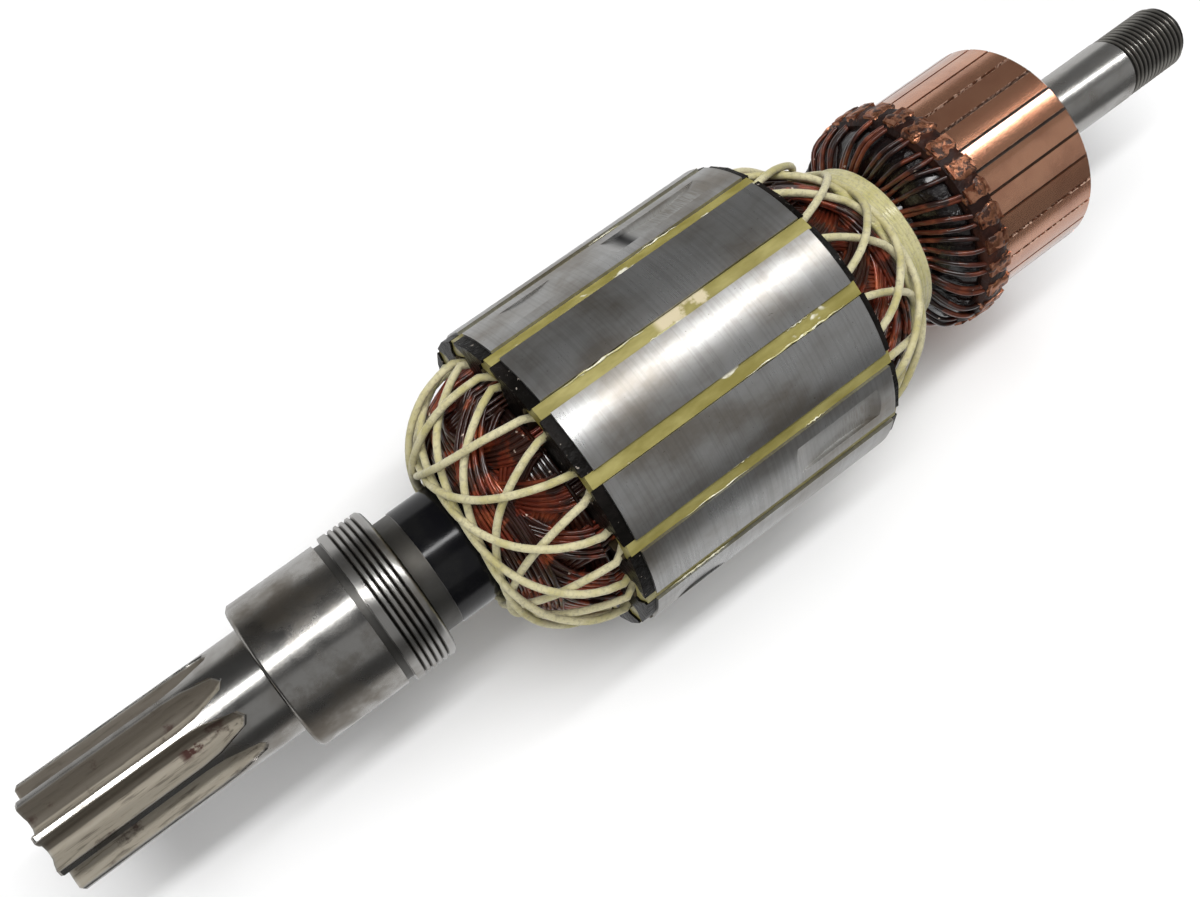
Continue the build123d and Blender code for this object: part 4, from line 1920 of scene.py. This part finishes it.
# A darker copy of the coil wire: painted shade on the fans that lie under the outer coils.
SHADED_FAN_WIRE = EnamelWire(
    name="fan_wire_painted_shade",
    red=(0.135, 0.022, 0.010),
    amber=(0.26, 0.058, 0.022),
    pool=(0.018, 0.006, 0.004),
)
# A much darker copy of the coil wire: painted shade on the turns buried under the heads.
SHADED_BURIED_WIRE = EnamelWire(
    name="buried_wire_painted_shade",
    red=(0.05, 0.014, 0.008),
    amber=(0.10, 0.03, 0.015),
    pool=(0.012, 0.006, 0.005),
)
LEAD_WIRE = EnamelWire(
    name="lead_dark_varnish",
    red=(0.080, 0.019, 0.010),
    amber=(0.21, 0.055, 0.026),
    pool=(0.012, 0.005, 0.004),
)
LACING_CORD = CreamCord(
    name="lacing_cream_cord",
    pale=(0.57, 0.525, 0.325),
    yellow=(0.43, 0.385, 0.165),
    coat=0.0,
)
BAND_CORD = CreamCord(
    name="binding_varnished_cord",
    pale=(0.52, 0.48, 0.25),
    yellow=(0.40, 0.365, 0.125),
    coat=0.6,
)


def make_finishes(places: Places) -> dict[Slot, bpy.types.Material]:
    """Build each slot's material.

    Args:
        places: shared places.

    Returns:
        Material of each slot.
    """
    return {
        Slot.SHAFT: ShaftSteel(places).material(),
        Slot.CORE: CoreSteel(places).material(),
        Slot.BAR: CopperBar(places).material(),
        Slot.COIL: COIL_WIRE.material(),
        Slot.CORD: LACING_CORD.material(),
        Slot.WEDGE: OliveWedge().material(),
        Slot.SLEEVE: SLEEVE.material(),
        Slot.PLATE: PLATE.material(),
        Slot.LINER: LINER.material(),
        Slot.LEAD: LEAD_WIRE.material(),
        Slot.HUB: HUB.material(),
    }


def dress_solids(frame: dict, finishes: dict[Slot, bpy.types.Material]) -> None:
    """Dress every solid by the slot that the record gives it.

    Args:
        frame: the loaded frame.
        finishes: material of each slot.
    """
    slots = {row["node"]: Slot(row["material_slot"]) for row in frame["record"]["subparts"]}
    for name, node in frame["nodes"].items():
        dress(node, finishes[slots[name]])
    LOG.info("%d solids dressed", len(slots))


def build_winding(places: Places, finishes: dict[Slot, bpy.types.Material]) -> None:
    """Build the coils, the cords and what ties them to the commutator.

    Args:
        places: shared places.
        finishes: material of each slot.
    """
    drive = WindingHead(End.DRIVE, places.drive_face, DRIVE_OUTLINE)
    commutator = WindingHead(End.COMMUTATOR, places.commutator_face, COMMUTATOR_OUTLINE)
    winding = Winding(drive, commutator)
    winding.build_coils(finishes[Slot.COIL])
    # The fans get a darker copy of the wire's finish: painted shade.
    winding.build_fans(SHADED_FAN_WIRE.material())
    # The buried turns get a much darker copy of the wire's finish: painted shade.
    winding.build_buried(SHADED_BURIED_WIRE.material())
    Lacing(drive, DRIVE_LACING_WAIST).build(finishes[Slot.CORD])
    Lacing(commutator, COMMUTATOR_LACING_WAIST).build(finishes[Slot.CORD])
    BindingBand(places.commutator_face).build(BAND_CORD.material())
    Leads(places.commutator_face).build(finishes[Slot.LEAD])


def build_varnish(places: Places) -> None:
    """Build the varnish, the fused risers and the glue.

    Args:
        places: shared places.
    """
    riser_ring = VarnishRing("riser_varnish_ring", places.commutator_start, RISER_VARNISH_OUTLINE)
    riser_ring.build(RISER_VARNISH.material())
    lead_skin = VarnishRing("lead_varnish_skin", places.commutator_face, LEAD_VARNISH_OUTLINE)
    lead_skin.build(LEAD_VARNISH.material())
    FusedRisers(places.commutator_start).build(FusedCopper().material())
    GlueDrips(places).build(DriedGlue().material())


def build_round_copies(frame: dict, finishes: dict[Slot, bpy.types.Material]) -> None:
    """Put smooth copies in the place of the solids whose facets would show.

    Args:
        frame: the loaded frame.
        finishes: material of each slot.
    """
    shaft = smooth_copy("shaft_turned", frame["nodes"]["shaft"], SHAFT_SMOOTH_ANGLE)
    keep(shaft, Slot.SHAFT, finishes[Slot.SHAFT], "shaft")
    for node in ("end_plate_drive", "end_plate_commutator"):
        plate = smooth_copy(f"{node}_round", frame["nodes"][node], PLATE_SMOOTH_ANGLE)
        keep(plate, Slot.PLATE, finishes[Slot.PLATE], node)


def main() -> None:
    """Build the armature's dress and the studio."""
    logging.basicConfig(level=logging.INFO)
    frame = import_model()
    places = Places.read()
    finishes = make_finishes(places)
    dress_solids(frame, finishes)
    build_winding(places, finishes)
    build_varnish(places)
    TailThread(places.shaft_end).build(finishes[Slot.SHAFT])
    build_round_copies(frame, finishes)
    Studio(places).build(PaleFloor().material())


if __name__ == "__main__":
    main()
